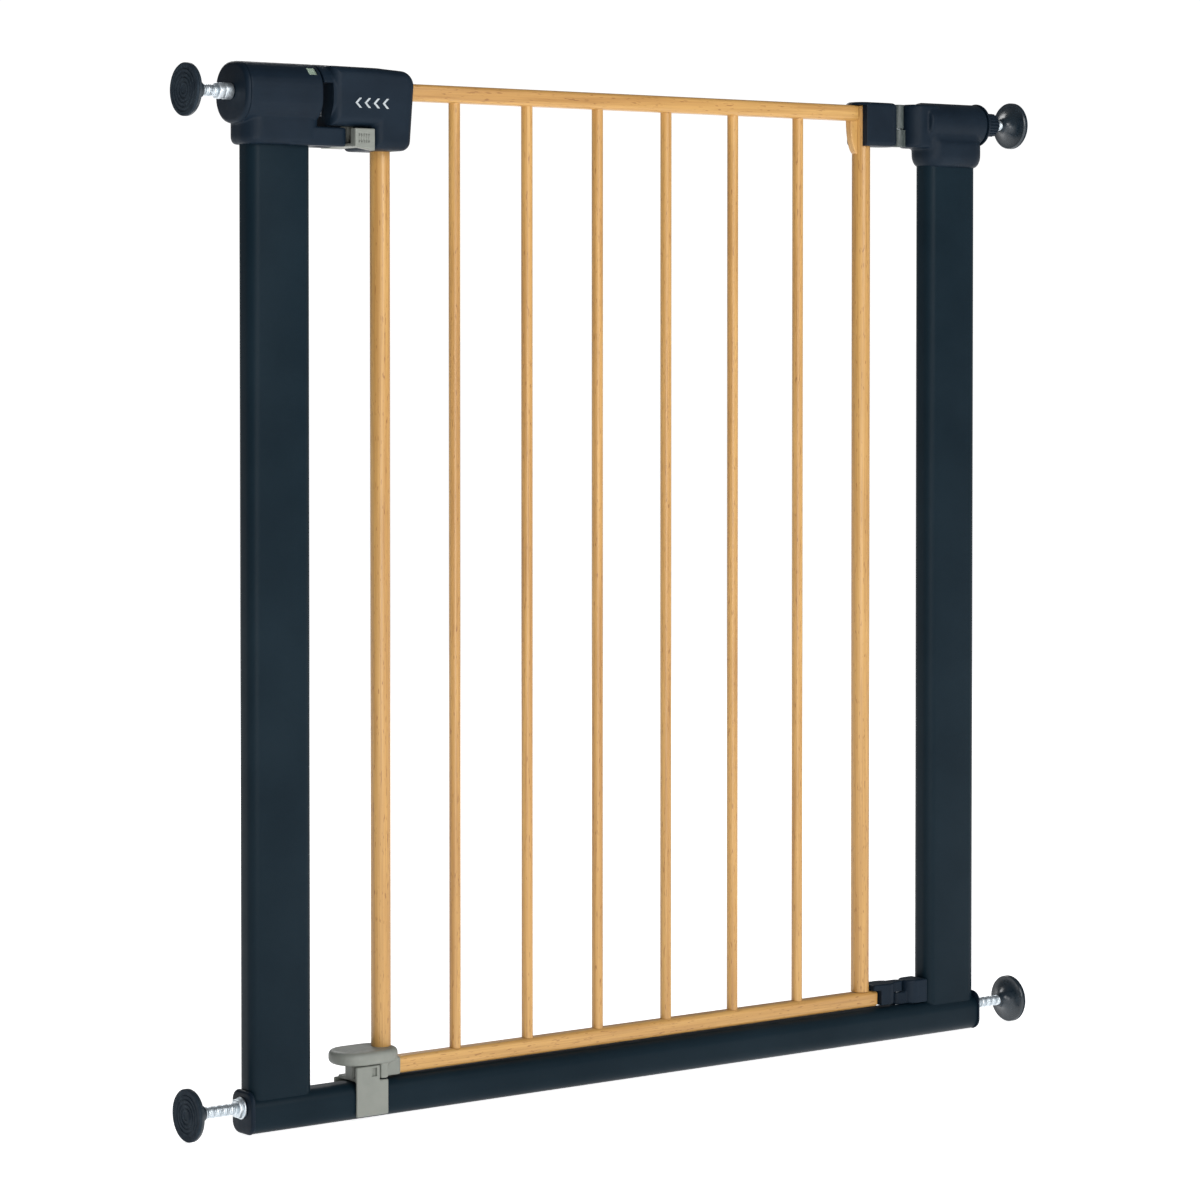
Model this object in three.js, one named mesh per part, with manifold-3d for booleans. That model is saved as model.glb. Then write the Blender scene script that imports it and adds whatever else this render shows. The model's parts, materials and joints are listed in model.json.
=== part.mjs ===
// Pressure-fit safety gate: a U-shaped steel frame, held between two walls by four screw
// spindles, and a barred door that lifts on its hinge pins, swings both ways and is locked
// by a thumb latch at the top and a sprung catch at the foot.
// Millimetres. +X runs to the right seen from the front, +Y away from the front, +Z up.
// The origin is on the floor, midway between the walls, in the middle of the gate's depth.
import * as THREE from "three";
import { mergeVertices } from "three/addons/utils/BufferGeometryUtils.js";
import Module from "manifold-3d";

const wasm = await Module();
wasm.setup();

// ---------------------------------------------------------------- driving dimensions
const GATE_HEIGHT = 730; // floor to the top of the latch housing
const WALL_SPAN = 763; // wall to wall, over the faces of the pads
const PAD_STANDOFF = 47; // wall to the outer face of an upright

const GAP = 0.3; // between pieces that are joined or rest on each other
const SLIDE_GAP = 0.6; // on each side of a piece that slides
const BORE_GAP = 0.15; // radial, round a turning pin or a screw

const CROSSBAR_HEIGHT = 26;
const CROSSBAR_DEPTH = 25;
const CROSSBAR_CORNER = 9;
const FRAME_WALL = 1.5; // wall of the crossbar and uprights
const UPRIGHT_WIDTH = 50;
const UPRIGHT_DEPTH = 20;
const UPRIGHT_CORNER = 7.5;

const STILE_DIAMETER = 14;
const RAIL_SIZE = 12;
const RAIL_CORNER = 3;
const BAR_DIAMETER = 8.2;
const BAR_COUNT = 6;
const DOOR_WALL = 1.2; // wall of the door's tubes
const DOOR_FLOOR_GAP = 1.6; // bottom rail above the crossbar
const STILE_BELOW_TOP = 10; // stile top under the gate's top

const SPINDLE_DIAMETER = 8;
const SPINDLE_LENGTH = 59;
const SPINDLE_BELOW_TOP = 20.5; // upper spindles' axis under the gate's top
const SPINDLE_BELOW_CROSSBAR = 8; // lower spindles' axis under the crossbar's top
const PAD_DIAMETER = 36;
const PAD_LENGTH = 14; // wall face to the end of the neck
const PAD_FACE = 1.5; // thickness of the rubber face
const SLEEVE_NUT = { radius: 6, length: 11.7 };
const FLANGE_NUT = { radius: 7.5, length: 5 };
const KNOB = { radius: 9, length: 16 };

const HOUSING_WALL = 2.5; // wall of the moulded housings and the handle
const BARREL_OVERHANG = 9.5; // housing barrel past the upright's outer face
const COLLAR_RIM = 5.5; // housing collar round an upright
const COLLAR_HEIGHT = 18;
const COLLAR_BELOW_TOP = 56; // collar's lower edge under the gate's top
const LATCH_BARREL = 42; // width and height of the latch housing's barrel
const LATCH_BARREL_CORNER = 18;
const LATCH_GAP = 8; // slot between the latch barrel and the handle's nose
const LIP_GAP = 1; // the same at the lip that closes the slot's top
const LIP_HEIGHT = 12;
const LEDGE_LENGTH = 26; // ledge past the upright's inner face
const LEDGE_TOP = 43; // ledge's top under the gate's top
const LEDGE_DEPTH = 30;
const BOLT_SIZE = 10;
const LATCH_TRAVEL = 14;

const HANDLE_DEPTH = 44;
const HANDLE_HEIGHT = 57;
const NOSE_LENGTH = 34;

const HINGE_TO_UPRIGHT = 24.5; // hinge axis to the upright's inner face
const HINGE_TO_STILE = 37.5;
const HINGE_PIN = 5;
const HINGE_BARREL = 32; // diameter of the hinge housing's barrel
const ARM_TOP = 7.5; // upper hinge arms under the gate's top
const ARM_HEIGHT = 33.5;
const LOWER_ARM_HALF = 9;
const LOWER_HINGE_HEIGHT = 18.5; // lower hinge above the crossbar

const CATCH_TRAVEL = 5;
const CATCH_BOLT = 6;
const CATCH_HEIGHT = 11.9; // catch block above the crossbar
const INDICATOR_TRAVEL = 2;

// ---------------------------------------------------------------- places worked out from them
const uprightOuter = WALL_SPAN / 2 - PAD_STANDOFF;
const uprightInner = uprightOuter - UPRIGHT_WIDTH;
const uprightX = (uprightOuter + uprightInner) / 2;
const hingeX = uprightInner - HINGE_TO_UPRIGHT;
const stileX = hingeX - HINGE_TO_STILE;
const crossbarTop = CROSSBAR_HEIGHT;
const onCrossbar = crossbarTop + GAP;
const railBottom = crossbarTop + DOOR_FLOOR_GAP;
const railTop = railBottom + RAIL_SIZE;
const stileTop = GATE_HEIGHT - STILE_BELOW_TOP;
const upperSpindleZ = GATE_HEIGHT - SPINDLE_BELOW_TOP;
const lowerSpindleZ = crossbarTop - SPINDLE_BELOW_CROSSBAR;
const collarBottom = GATE_HEIGHT - COLLAR_BELOW_TOP;
const collarTop = collarBottom + COLLAR_HEIGHT;
const uprightTop = collarTop - HOUSING_WALL;
const stileR = STILE_DIAMETER / 2;
const spindleBore = SPINDLE_DIAMETER / 2 + BORE_GAP + 0.25;
const armTop = GATE_HEIGHT - ARM_TOP;
const armBottom = armTop - ARM_HEIGHT;
const upperArmHalf = stileR + 5;

// ---------------------------------------------------------------- materials
const finish = (color, roughness, metalness = 0) =>
  new THREE.MeshStandardMaterial({ color, roughness, metalness });
const slatePaint = finish("#34424c", 0.45, 0.2);
const blackPlastic = finish("#1b1c1e", 0.5);
const beechFinish = finish("#cfa064", 0.45);
const greyPlastic = finish("#a2a49c", 0.55);
const zinc = finish("#b4bac2", 0.3, 0.9);
const darkRubber = finish("#232527", 0.85);
const greenPlastic = finish("#5f9a46", 0.4);
const clearPlastic = finish("#d8e4dc", 0.1);
const springSteel = finish("#85888c", 0.35, 0.9);

// ---------------------------------------------------------------- shape helpers
// A closed geometry as a solid, and a solid as a geometry.
function toSolid(geometry) {
  const bare = geometry.clone();
  bare.deleteAttribute("normal");
  bare.deleteAttribute("uv");
  const merged = mergeVertices(bare, 1e-4);
  return new wasm.Manifold(
    new wasm.Mesh({
      numProp: 3,
      vertProperties: merged.attributes.position.array,
      triVerts: new Uint32Array(merged.index.array),
    }),
  );
}

function toGeometry(solid) {
  const { vertProperties, triVerts } = solid.getMesh();
  const geometry = new THREE.BufferGeometry()
    .setAttribute("position", new THREE.BufferAttribute(vertProperties, 3))
    .setIndex(new THREE.BufferAttribute(triVerts, 1));
  geometry.computeVertexNormals();
  return geometry;
}

const join = (first, ...rest) => rest.reduce((all, s) => all.add(s), first);
const cut = (first, ...rest) => rest.reduce((left, s) => left.subtract(s), first);

// A box between opposite corners.
function box(x0, x1, y0, y1, z0, z1) {
  const geometry = new THREE.BoxGeometry(x1 - x0, y1 - y0, z1 - z0);
  return toSolid(geometry.translate((x0 + x1) / 2, (y0 + y1) / 2, (z0 + z1) / 2));
}

// A box that is as deep behind the mid-plane as in front of it.
const deepBox = (x0, x1, halfDepth, z0, z1) => box(x0, x1, -halfDepth, halfDepth, z0, z1);

// Turns a geometry made along Z so that it runs along another axis.
const along = {
  X: new THREE.Matrix4().set(0, 0, 1, 0, 1, 0, 0, 0, 0, 1, 0, 0, 0, 0, 0, 1),
  Y: new THREE.Matrix4().set(1, 0, 0, 0, 0, 0, -1, 0, 0, 1, 0, 0, 0, 0, 0, 1),
  Z: new THREE.Matrix4(),
};

// A shape drawn in the plane across an axis, drawn out from low to high along it.
function prism(axis, shape, low, high, curveSegments = 5) {
  const depth = high - low;
  const geometry = new THREE.ExtrudeGeometry(shape, { depth, bevelEnabled: false, curveSegments });
  geometry.translate(0, 0, axis === "Y" ? -high : low);
  return toSolid(geometry.applyMatrix4(along[axis]));
}

// A round bar along an axis, centred on (u, v) in the plane across it.
function rod(axis, low, high, radius, u, v, sides = 32) {
  const circle = new THREE.Shape();
  for (let i = 0; i < sides; i += 1) {
    const turn = (2 * Math.PI * i) / sides;
    const corner = [u + radius * Math.cos(turn), v + radius * Math.sin(turn)];
    if (i) circle.lineTo(...corner);
    else circle.moveTo(...corner);
  }
  return prism(axis, circle, low, high);
}

// A rectangle with round corners, centred on (u, v).
function roundedRect(width, height, corner, u = 0, v = 0) {
  const [w, h] = [width / 2, height / 2];
  const shape = new THREE.Shape();
  shape.absarc(u + w - corner, v + h - corner, corner, 0, Math.PI / 2);
  shape.absarc(u - w + corner, v + h - corner, corner, Math.PI / 2, Math.PI);
  shape.absarc(u - w + corner, v - h + corner, corner, Math.PI, 1.5 * Math.PI);
  shape.absarc(u + w - corner, v - h + corner, corner, 1.5 * Math.PI, 2 * Math.PI);
  shape.closePath();
  return shape;
}

// A tube of rounded rectangular section.
function tube(axis, width, height, corner, wall, u, v, low, high) {
  const outside = prism(axis, roundedRect(width, height, corner, u, v), low, high);
  const inner = roundedRect(width - 2 * wall, height - 2 * wall, corner - wall, u, v);
  return cut(outside, prism(axis, inner, low - 1, high + 1));
}

// A turned piece about the X axis, from [radius, x] points.
function turned(points, sides = 32) {
  const profile = points.map(([r, x]) => new THREE.Vector2(r, x));
  const toX = new THREE.Matrix4().set(0, 1, 0, 0, 0, 0, 1, 0, 1, 0, 0, 0, 0, 0, 0, 1);
  return toSolid(new THREE.LatheGeometry(profile, sides).applyMatrix4(toX));
}

// A bar seen from above with one half-round end, centred on endX, and a square end at flatX.
function roundEndBar(endX, flatX, half, z0, z1) {
  return join(
    rod("Z", z0, z1, half, endX, 0, 40),
    deepBox(Math.min(endX, flatX), Math.max(endX, flatX), half, z0, z1),
  );
}

// A coil spring along X.
const COIL_STEPS = 8; // for each turn
function coilSpring(x0, x1, y, z, radius, wire, turns) {
  const points = [];
  const steps = turns * COIL_STEPS;
  for (let i = 0; i <= steps; i += 1) {
    const turn = (2 * Math.PI * i) / COIL_STEPS;
    const x = x0 + wire + ((x1 - x0 - 2 * wire) * i) / steps;
    points.push(new THREE.Vector3(x, y + radius * Math.cos(turn), z + radius * Math.sin(turn)));
  }
  const section = new THREE.Shape().absarc(0, 0, wire, 0, 2 * Math.PI);
  const geometry = new THREE.ExtrudeGeometry(section, {
    steps,
    curveSegments: 3,
    extrudePath: new THREE.CatmullRomCurve3(points),
    bevelEnabled: false,
  });
  return toSolid(geometry);
}

// A pan-head screw along Y, its head's outer face at headY, driven towards -Y.
const SCREW_HEAD = { radius: 3.2, length: 1.8 };
const SCREW_SHANK = 1.6;
function screwAlongY(x, headY, tipY, z) {
  const socket = rod("Y", headY - 1, headY + 1, 1.4, x, z, 6);
  const head = rod("Y", headY - SCREW_HEAD.length, headY, SCREW_HEAD.radius, x, z, 20);
  return cut(join(head, rod("Y", tipY, headY - 1, SCREW_SHANK, x, z, 12)), socket);
}

// The recess and hole for that screw, up to its tip.
function screwHoleAlongY(x, faceY, tipY, z) {
  const recess = SCREW_HEAD.length + 0.7;
  return join(
    rod("Y", faceY - recess, faceY + 1, SCREW_HEAD.radius + GAP, x, z, 20),
    rod("Y", tipY - GAP, faceY - 1, SCREW_SHANK + GAP, x, z, 12),
  );
}

const gate = new THREE.Group();
function add(name, solid, material, parent = gate) {
  const mesh = new THREE.Mesh(toGeometry(solid), material);
  mesh.name = name;
  parent.add(mesh);
}

// ---------------------------------------------------------------- U-shaped frame
const crossbarRect = [CROSSBAR_DEPTH, CROSSBAR_HEIGHT, CROSSBAR_CORNER, FRAME_WALL];
const lowerPinBore = HINGE_PIN / 2 + BORE_GAP;
const lowerPinBottom = lowerSpindleZ - 8;
const bracketScrewX = uprightInner - SCREW_HEAD.radius - 1.2;

// The crossbar lies on the floor; its top is drilled for the lower hinge pin and one screw.
add(
  "crossbar",
  cut(
    tube("X", ...crossbarRect, 0, crossbarTop / 2, -uprightOuter, uprightOuter),
    rod("Z", crossbarTop - 2 * FRAME_WALL, crossbarTop + 1, lowerPinBore + GAP, hingeX, 0, 20),
    rod("Z", crossbarTop - 2 * FRAME_WALL, crossbarTop + 1, SCREW_SHANK + GAP, bracketScrewX, 0, 12),
  ),
  slatePaint,
);

// Each upright stands on the crossbar and is pinned in its housing's collar by one screw.
const uprightRect = [UPRIGHT_WIDTH, UPRIGHT_DEPTH, UPRIGHT_CORNER, FRAME_WALL];
const collarScrewZ = collarBottom + COLLAR_HEIGHT / 2;
const collarScrewTip = UPRIGHT_DEPTH / 2 - 6;
for (const [side, x] of [["left", -uprightX], ["right", uprightX]]) {
  add(
    `${side}_upright`,
    cut(
      tube("Z", ...uprightRect, x, 0, onCrossbar, uprightTop),
      rod("Y", collarScrewTip, UPRIGHT_DEPTH, SCREW_SHANK + GAP, x, collarScrewZ, 12),
    ),
    slatePaint,
  );
}

// End plugs close the crossbar and guide the lower spindles.
const PLUG_FLANGE = 2.5;
const PLUG_DEPTH = 12;
const plugOuter = uprightOuter + PLUG_FLANGE;
function endPlug(direction) {
  const [flange, tip] = [direction * (uprightOuter + GAP), direction * (uprightOuter - PLUG_DEPTH)];
  const outer = direction * plugOuter;
  const inset = 2 * (FRAME_WALL + GAP);
  const plate = roundedRect(CROSSBAR_DEPTH + 2, crossbarTop + 4, 8, 0, crossbarTop / 2 + 2);
  const spigot = roundedRect(
    CROSSBAR_DEPTH - inset,
    CROSSBAR_HEIGHT - inset,
    CROSSBAR_CORNER - inset / 2,
    0,
    crossbarTop / 2,
  );
  return cut(
    join(
      prism("X", plate, Math.min(flange, outer), Math.max(flange, outer)),
      prism("X", spigot, Math.min(tip, flange), Math.max(tip, flange)),
    ),
    rod("X", -WALL_SPAN, WALL_SPAN, spindleBore, 0, lowerSpindleZ, 32),
  );
}
add("left_end_plug", endPlug(-1), blackPlastic);
add("right_end_plug", endPlug(1), blackPlastic);

// ---------------------------------------------------------------- latch housing
const barrelOuter = uprightOuter + BARREL_OVERHANG;
const BARREL_CAP = 3;
const barrelEnd = uprightInner - 2; // its inner end stands just past the upright
const barrelZ = GATE_HEIGHT - LATCH_BARREL / 2;
const barrelSection = (inset) =>
  roundedRect(
    LATCH_BARREL - 2 * inset,
    LATCH_BARREL - 2 * inset,
    LATCH_BARREL_CORNER - inset,
    0,
    barrelZ,
  );
const BULKHEAD = 17.5; // thickness of the housing's solid inner end
const boltZ = GATE_HEIGHT - 30;
const BOLT_SOCKET = 10;
const ledgeBottom = collarBottom;
const ledgeTop = GATE_HEIGHT - LEDGE_TOP;
const ledgeEnd = uprightInner - LEDGE_LENGTH;
const ledgeChannel = 6; // half-width of the channel for the thumb slide's web
const collarShape = (x) =>
  roundedRect(UPRIGHT_WIDTH + 2 * COLLAR_RIM, UPRIGHT_DEPTH + 2 * COLLAR_RIM, 12, x, 0);
const uprightSocket = (x, z0, z1) =>
  prism(
    "Z",
    roundedRect(UPRIGHT_WIDTH + 2 * GAP, UPRIGHT_DEPTH + 2 * GAP, UPRIGHT_CORNER + GAP, x, 0),
    z0,
    z1,
  );

// A block on the barrel's front upper shoulder, given by its depths from the corner's centre.
function shoulderBlock(x0, x1, halfWidth, near, far) {
  const geometry = new THREE.BoxGeometry(x1 - x0, 2 * halfWidth, far - near);
  geometry.translate((x0 + x1) / 2, 0, (near + far) / 2);
  geometry.rotateX(Math.PI / 4);
  const corner = LATCH_BARREL / 2 - LATCH_BARREL_CORNER;
  return toSolid(geometry.translate(0, -corner, barrelZ + corner));
}
const windowX0 = -barrelEnd - 10;
const windowX1 = -barrelEnd - 3;
const FLAG = { halfWidth: 3.6, near: LATCH_BARREL_CORNER - 6, far: LATCH_BARREL_CORNER - 3.2 };
const flagChannelEnd = -barrelEnd - 1.3;

add(
  "latch_housing",
  cut(
    join(
      prism("X", barrelSection(0), -barrelOuter + BARREL_CAP + GAP, -barrelEnd),
      prism("Z", collarShape(-uprightX), collarBottom, collarTop),
      prism(
        "Z",
        roundedRect(LEDGE_LENGTH + 8, LEDGE_DEPTH, 5, -ledgeEnd - LEDGE_LENGTH / 2 - 4, 0),
        ledgeBottom,
        ledgeTop,
      ),
    ),
    prism("X", barrelSection(HOUSING_WALL), -barrelOuter - 1, -barrelEnd - BULKHEAD),
    uprightSocket(-uprightX, collarBottom - 1, uprightTop + GAP),
    deepBox(
      -barrelEnd - BOLT_SOCKET,
      -barrelEnd + 1,
      BOLT_SIZE / 2 + SLIDE_GAP,
      boltZ - BOLT_SIZE / 2 - SLIDE_GAP,
      boltZ + BOLT_SIZE / 2 + SLIDE_GAP,
    ),
    deepBox(-uprightInner + 7, -ledgeEnd + 1, ledgeChannel, ledgeBottom - 1, ledgeTop + 1),
    shoulderBlock(
      windowX0 - INDICATOR_TRAVEL,
      flagChannelEnd,
      FLAG.halfWidth + SLIDE_GAP,
      FLAG.near - SLIDE_GAP,
      FLAG.far + SLIDE_GAP,
    ),
    shoulderBlock(windowX0, windowX1, FLAG.halfWidth, FLAG.far, LATCH_BARREL_CORNER + 2),
    screwHoleAlongY(-uprightX, UPRIGHT_DEPTH / 2 + COLLAR_RIM, collarScrewTip, collarScrewZ),
  ),
  blackPlastic,
);

// A round-edged cap closes the barrel's outer end and guides the upper spindle.
add(
  "latch_housing_cap",
  cut(
    join(
      prism("X", barrelSection(0), -barrelOuter, -barrelOuter + BARREL_CAP),
      prism("X", barrelSection(HOUSING_WALL + GAP), -barrelOuter + 1, -barrelOuter + 9),
    ),
    rod("X", -barrelOuter - 1, -barrelOuter + 10, spindleBore, 0, upperSpindleZ, 32),
  ),
  blackPlastic,
);

// The pressure indicator: a green flag that slides behind a clear window.
add(
  "indicator_window",
  shoulderBlock(
    windowX0 + GAP,
    windowX1 - GAP,
    FLAG.halfWidth - GAP,
    FLAG.far + SLIDE_GAP + GAP,
    LATCH_BARREL_CORNER - 0.7,
  ),
  clearPlastic,
);
add(
  "indicator_flag",
  shoulderBlock(windowX0 + 0.6, windowX1 - 0.6, FLAG.halfWidth, FLAG.near, FLAG.far),
  greenPlastic,
);

// ---------------------------------------------------------------- hinge housing
const armOffset = upperArmHalf * Math.SQRT2 + 0.35; // lets both round ends pass each other
const hingeCollarBottom = collarBottom + 0.5;
const knuckleR = HINGE_PIN / 2 + 2.1;
const knuckleSplit = armBottom + 14;
const CAP_RING = 16.8;
add(
  "hinge_housing",
  cut(
    join(
      rod("X", uprightInner - 2, barrelOuter - BARREL_CAP - GAP, HINGE_BARREL / 2, 0, upperSpindleZ - 1, 40),
      prism("Z", collarShape(uprightX), hingeCollarBottom, collarTop),
      deepBox(uprightInner - 4, uprightOuter, 12, collarTop - 1, upperSpindleZ - 4),
      roundEndBar(hingeX + armOffset, uprightInner + 6, upperArmHalf, armBottom, armTop),
      rod("Z", armBottom + 0.5, knuckleSplit, knuckleR, hingeX, 0, 24),
      deepBox(hingeX, hingeX + armOffset, knuckleR, armBottom + 0.5, knuckleSplit),
    ),
    rod(
      "X",
      uprightX - 16,
      barrelOuter + 1,
      HINGE_BARREL / 2 - HOUSING_WALL,
      0,
      upperSpindleZ - 1,
      40,
    ),
    uprightSocket(uprightX, hingeCollarBottom - 1, uprightTop + GAP),
    rod("Z", armBottom - 1, knuckleSplit + 1, HINGE_PIN / 2 + BORE_GAP, hingeX, 0, 24),
    screwHoleAlongY(uprightX, UPRIGHT_DEPTH / 2 + COLLAR_RIM, collarScrewTip, collarScrewZ),
  ),
  blackPlastic,
);
add(
  "hinge_housing_cap",
  cut(
    join(
      rod("X", barrelOuter - BARREL_CAP, barrelOuter, CAP_RING, 0, upperSpindleZ - 1, 40),
      rod(
        "X",
        barrelOuter - 9,
        barrelOuter - 1,
        HINGE_BARREL / 2 - HOUSING_WALL - GAP,
        0,
        upperSpindleZ - 1,
        40,
      ),
    ),
    rod("X", barrelOuter - 10, barrelOuter + 1, spindleBore, 0, upperSpindleZ, 32),
  ),
  blackPlastic,
);
for (const [name, x] of [["latch_housing_screw", -uprightX], ["hinge_housing_screw", uprightX]]) {
  const headY = UPRIGHT_DEPTH / 2 + COLLAR_RIM - 0.5;
  add(name, screwAlongY(x, headY, collarScrewTip, collarScrewZ), zinc);
}

// ---------------------------------------------------------------- lower hinge, on the crossbar
const lowerOffset = LOWER_ARM_HALF * Math.SQRT2 + 1.5;
const lowerHingeTop = crossbarTop + LOWER_HINGE_HEIGHT;
const lowerSplit = onCrossbar + 9.4;
const bracketEnd = uprightInner - GAP;
add(
  "lower_hinge_bracket",
  cut(
    join(
      roundEndBar(hingeX + lowerOffset, bracketEnd, LOWER_ARM_HALF, onCrossbar, lowerHingeTop),
      rod("Z", onCrossbar, lowerSplit, knuckleR, hingeX, 0, 24),
      deepBox(hingeX, hingeX + lowerOffset, knuckleR, onCrossbar, lowerSplit),
    ),
    rod("Z", onCrossbar - 1, lowerSplit + 1, lowerPinBore, hingeX, 0, 24),
    rod("Z", onCrossbar - 1, lowerHingeTop + 1, SCREW_SHANK + GAP, bracketScrewX, 0, 12),
    rod("Z", lowerHingeTop - 2.5, lowerHingeTop + 1, SCREW_HEAD.radius + GAP, bracketScrewX, 0, 20),
  ),
  blackPlastic,
);
add(
  "lower_bracket_screw",
  cut(
    join(
      rod("Z", lowerHingeTop - 2.2, lowerHingeTop - 0.4, SCREW_HEAD.radius, bracketScrewX, 0, 20),
      rod("Z", crossbarTop - 8, lowerHingeTop - 1, SCREW_SHANK, bracketScrewX, 0, 12),
    ),
    rod("Z", lowerHingeTop - 1.4, lowerHingeTop + 1, 1.4, bracketScrewX, 0, 6),
  ),
  zinc,
);

// The pins go up with the door when it is lifted.
const upperPinTop = armTop - 1.5;
add(
  "upper_hinge_pin",
  rod("Z", armBottom + 1.5, upperPinTop, HINGE_PIN / 2, hingeX, 0, 24),
  zinc,
);
add(
  "lower_hinge_pin",
  rod("Z", lowerPinBottom, lowerHingeTop - 0.5, HINGE_PIN / 2, hingeX, 0, 24),
  zinc,
);

// ---------------------------------------------------------------- catch at the foot
const catchBlock = { x0: -stileX - 30, x1: -stileX - 10.5 };
const catchZ = onCrossbar + 6.2;
const catchTop = crossbarTop + CATCH_HEIGHT;
const catchBolt = { x0: catchBlock.x0 + 12.5, x1: catchBlock.x1 - 0.5 };
const catchBoreStart = catchBlock.x0 + 5;
const catchHalf = CATCH_BOLT / 2;
const strap = { x0: catchBlock.x0, x1: catchBlock.x1 + 7, thick: 2.2, z0: 3 };
const strapIn = CROSSBAR_DEPTH / 2 + GAP;
add(
  "catch_saddle",
  cut(
    join(
      deepBox(catchBlock.x0, catchBlock.x1, strapIn + strap.thick, onCrossbar, catchTop),
      ...[-1, 1].map((side) =>
        box(
          strap.x0,
          strap.x1,
          side < 0 ? -strapIn - strap.thick : strapIn,
          side < 0 ? -strapIn : strapIn + strap.thick,
          strap.z0,
          onCrossbar + 0.8,
        ),
      ),
    ),
    deepBox(
      catchBoreStart,
      catchBlock.x1 + 1,
      catchHalf + SLIDE_GAP,
      catchZ - catchHalf - SLIDE_GAP,
      catchZ + catchHalf + SLIDE_GAP,
    ),
    box(
      catchBlock.x1 - 7,
      catchBlock.x1 - 3,
      -CROSSBAR_DEPTH,
      -strapIn + 2,
      onCrossbar + 4,
      catchTop - 1.5,
    ),
  ),
  greyPlastic,
);
add(
  "catch_bolt",
  deepBox(catchBolt.x0, catchBolt.x1, catchHalf, catchZ - catchHalf, catchZ + catchHalf),
  zinc,
);
add(
  "catch_spring",
  coilSpring(catchBoreStart + GAP, catchBolt.x0 - GAP, 0, catchZ, 2.1, 0.45, 3),
  springSteel,
);

// ---------------------------------------------------------------- door frame
const doorTube = (x, z0, z1) =>
  cut(
    rod("Z", z0, z1, stileR, x, 0, 32),
    rod("Z", z0 - 1, z1 + 1, stileR - DOOR_WALL, x, 0, 32),
  );
add("left_stile", doorTube(-stileX, railTop + GAP, stileTop), beechFinish);
add("right_stile", doorTube(stileX, railTop + GAP, stileTop), beechFinish);

const barPitch = (2 * stileX) / (BAR_COUNT + 1);
const barXs = Array.from({ length: BAR_COUNT }, (_, i) => -stileX + barPitch * (i + 1));
const BAR_ENTRY = 5; // the bars go this far into each rail
const railTube = (z, x0, x1) =>
  tube("X", RAIL_SIZE, RAIL_SIZE, RAIL_CORNER, DOOR_WALL, 0, z, x0, x1);
const barHoles = (z0, z1) =>
  barXs.map((x) => rod("Z", z0, z1, BAR_DIAMETER / 2 + GAP, x, 0, 16));
const topRailZ = stileTop - RAIL_SIZE / 2;
const topRailBottom = stileTop - RAIL_SIZE;
const bottomRail = { x0: -stileX - 2.5, x1: stileX + 13.5, z: railBottom + RAIL_SIZE / 2 };
add(
  "top_rail",
  cut(
    railTube(topRailZ, -stileX + stileR + GAP, stileX - stileR - GAP),
    ...barHoles(topRailBottom - 1, topRailZ),
  ),
  beechFinish,
);
add(
  "bottom_rail",
  cut(
    railTube(bottomRail.z, bottomRail.x0, bottomRail.x1),
    ...barHoles(bottomRail.z, railTop + 1),
  ),
  beechFinish,
);

// The bars share one shape, made about its own axis and set in place by its position.
const barLength = topRailBottom + BAR_ENTRY - (railTop - BAR_ENTRY);
for (const [i, x] of barXs.entries()) {
  const bar = new THREE.Group();
  bar.position.set(x, 0, railTop - BAR_ENTRY);
  add(`bar_${i + 1}`, rod("Z", 0, barLength, BAR_DIAMETER / 2, 0, 0, 24), beechFinish, bar);
  gate.add(bar);
}

// A plate stiffens the corner under the top rail at the hinge side.
const GUSSET = { length: 26, thick: 6, round: 8 };
const gussetShape = new THREE.Shape();
const gussetRight = stileX - stileR - GAP;
const gussetTop = topRailBottom - GAP;
gussetShape.moveTo(gussetRight, gussetTop);
gussetShape.lineTo(gussetRight - 6, gussetTop);
gussetShape.quadraticCurveTo(
  gussetRight - 6,
  gussetTop - GUSSET.length + GUSSET.round,
  gussetRight,
  gussetTop - GUSSET.length,
);
gussetShape.closePath();
add(
  "corner_gusset",
  prism("Y", gussetShape, -GUSSET.thick / 2, GUSSET.thick / 2),
  beechFinish,
);

// ---------------------------------------------------------------- handle on the door
const noseX = -barrelEnd + LATCH_GAP;
const bodyX = noseX + NOSE_LENGTH;
const handleRight = -stileX + 16.5;
const handleTop = GATE_HEIGHT - 1;
const handleBottom = handleTop - HANDLE_HEIGHT;
const noseBottom = ledgeTop + 1.2;
const HANDLE_LEAN = 3; // the right side leans in by this much at the bottom
const HANDLE_FALL = 3; // the top falls by this much to the right

// The handle's outline from the front, drawn in by an inset.
function handleOutline(inset) {
  const [x0, x1, x2] = [noseX + inset, bodyX + inset, handleRight - inset];
  const [top, nose, bottom] = [handleTop - inset, noseBottom + inset, handleBottom + inset];
  const [upper, lower] = [10 - inset, 7 - inset];
  const shape = new THREE.Shape();
  shape.moveTo(x0 + 2, nose);
  shape.lineTo(x1, nose);
  shape.lineTo(x1, bottom);
  shape.lineTo(x2 - HANDLE_LEAN - lower, bottom);
  shape.quadraticCurveTo(x2 - HANDLE_LEAN, bottom, x2 - HANDLE_LEAN, bottom + lower);
  shape.lineTo(x2, top - HANDLE_FALL - upper);
  shape.quadraticCurveTo(x2, top - HANDLE_FALL, x2 - upper, top - HANDLE_FALL);
  shape.quadraticCurveTo(x1 + 6, top, x1 - 8, top);
  shape.lineTo(x0 + 3, top);
  shape.quadraticCurveTo(x0, top, x0, top - 3);
  shape.lineTo(x0, nose + 2);
  shape.quadraticCurveTo(x0, nose, x0 + 2, nose);
  return shape;
}
const handleHalf = HANDLE_DEPTH / 2;
const boltBack = noseX + 24.5;
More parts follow.
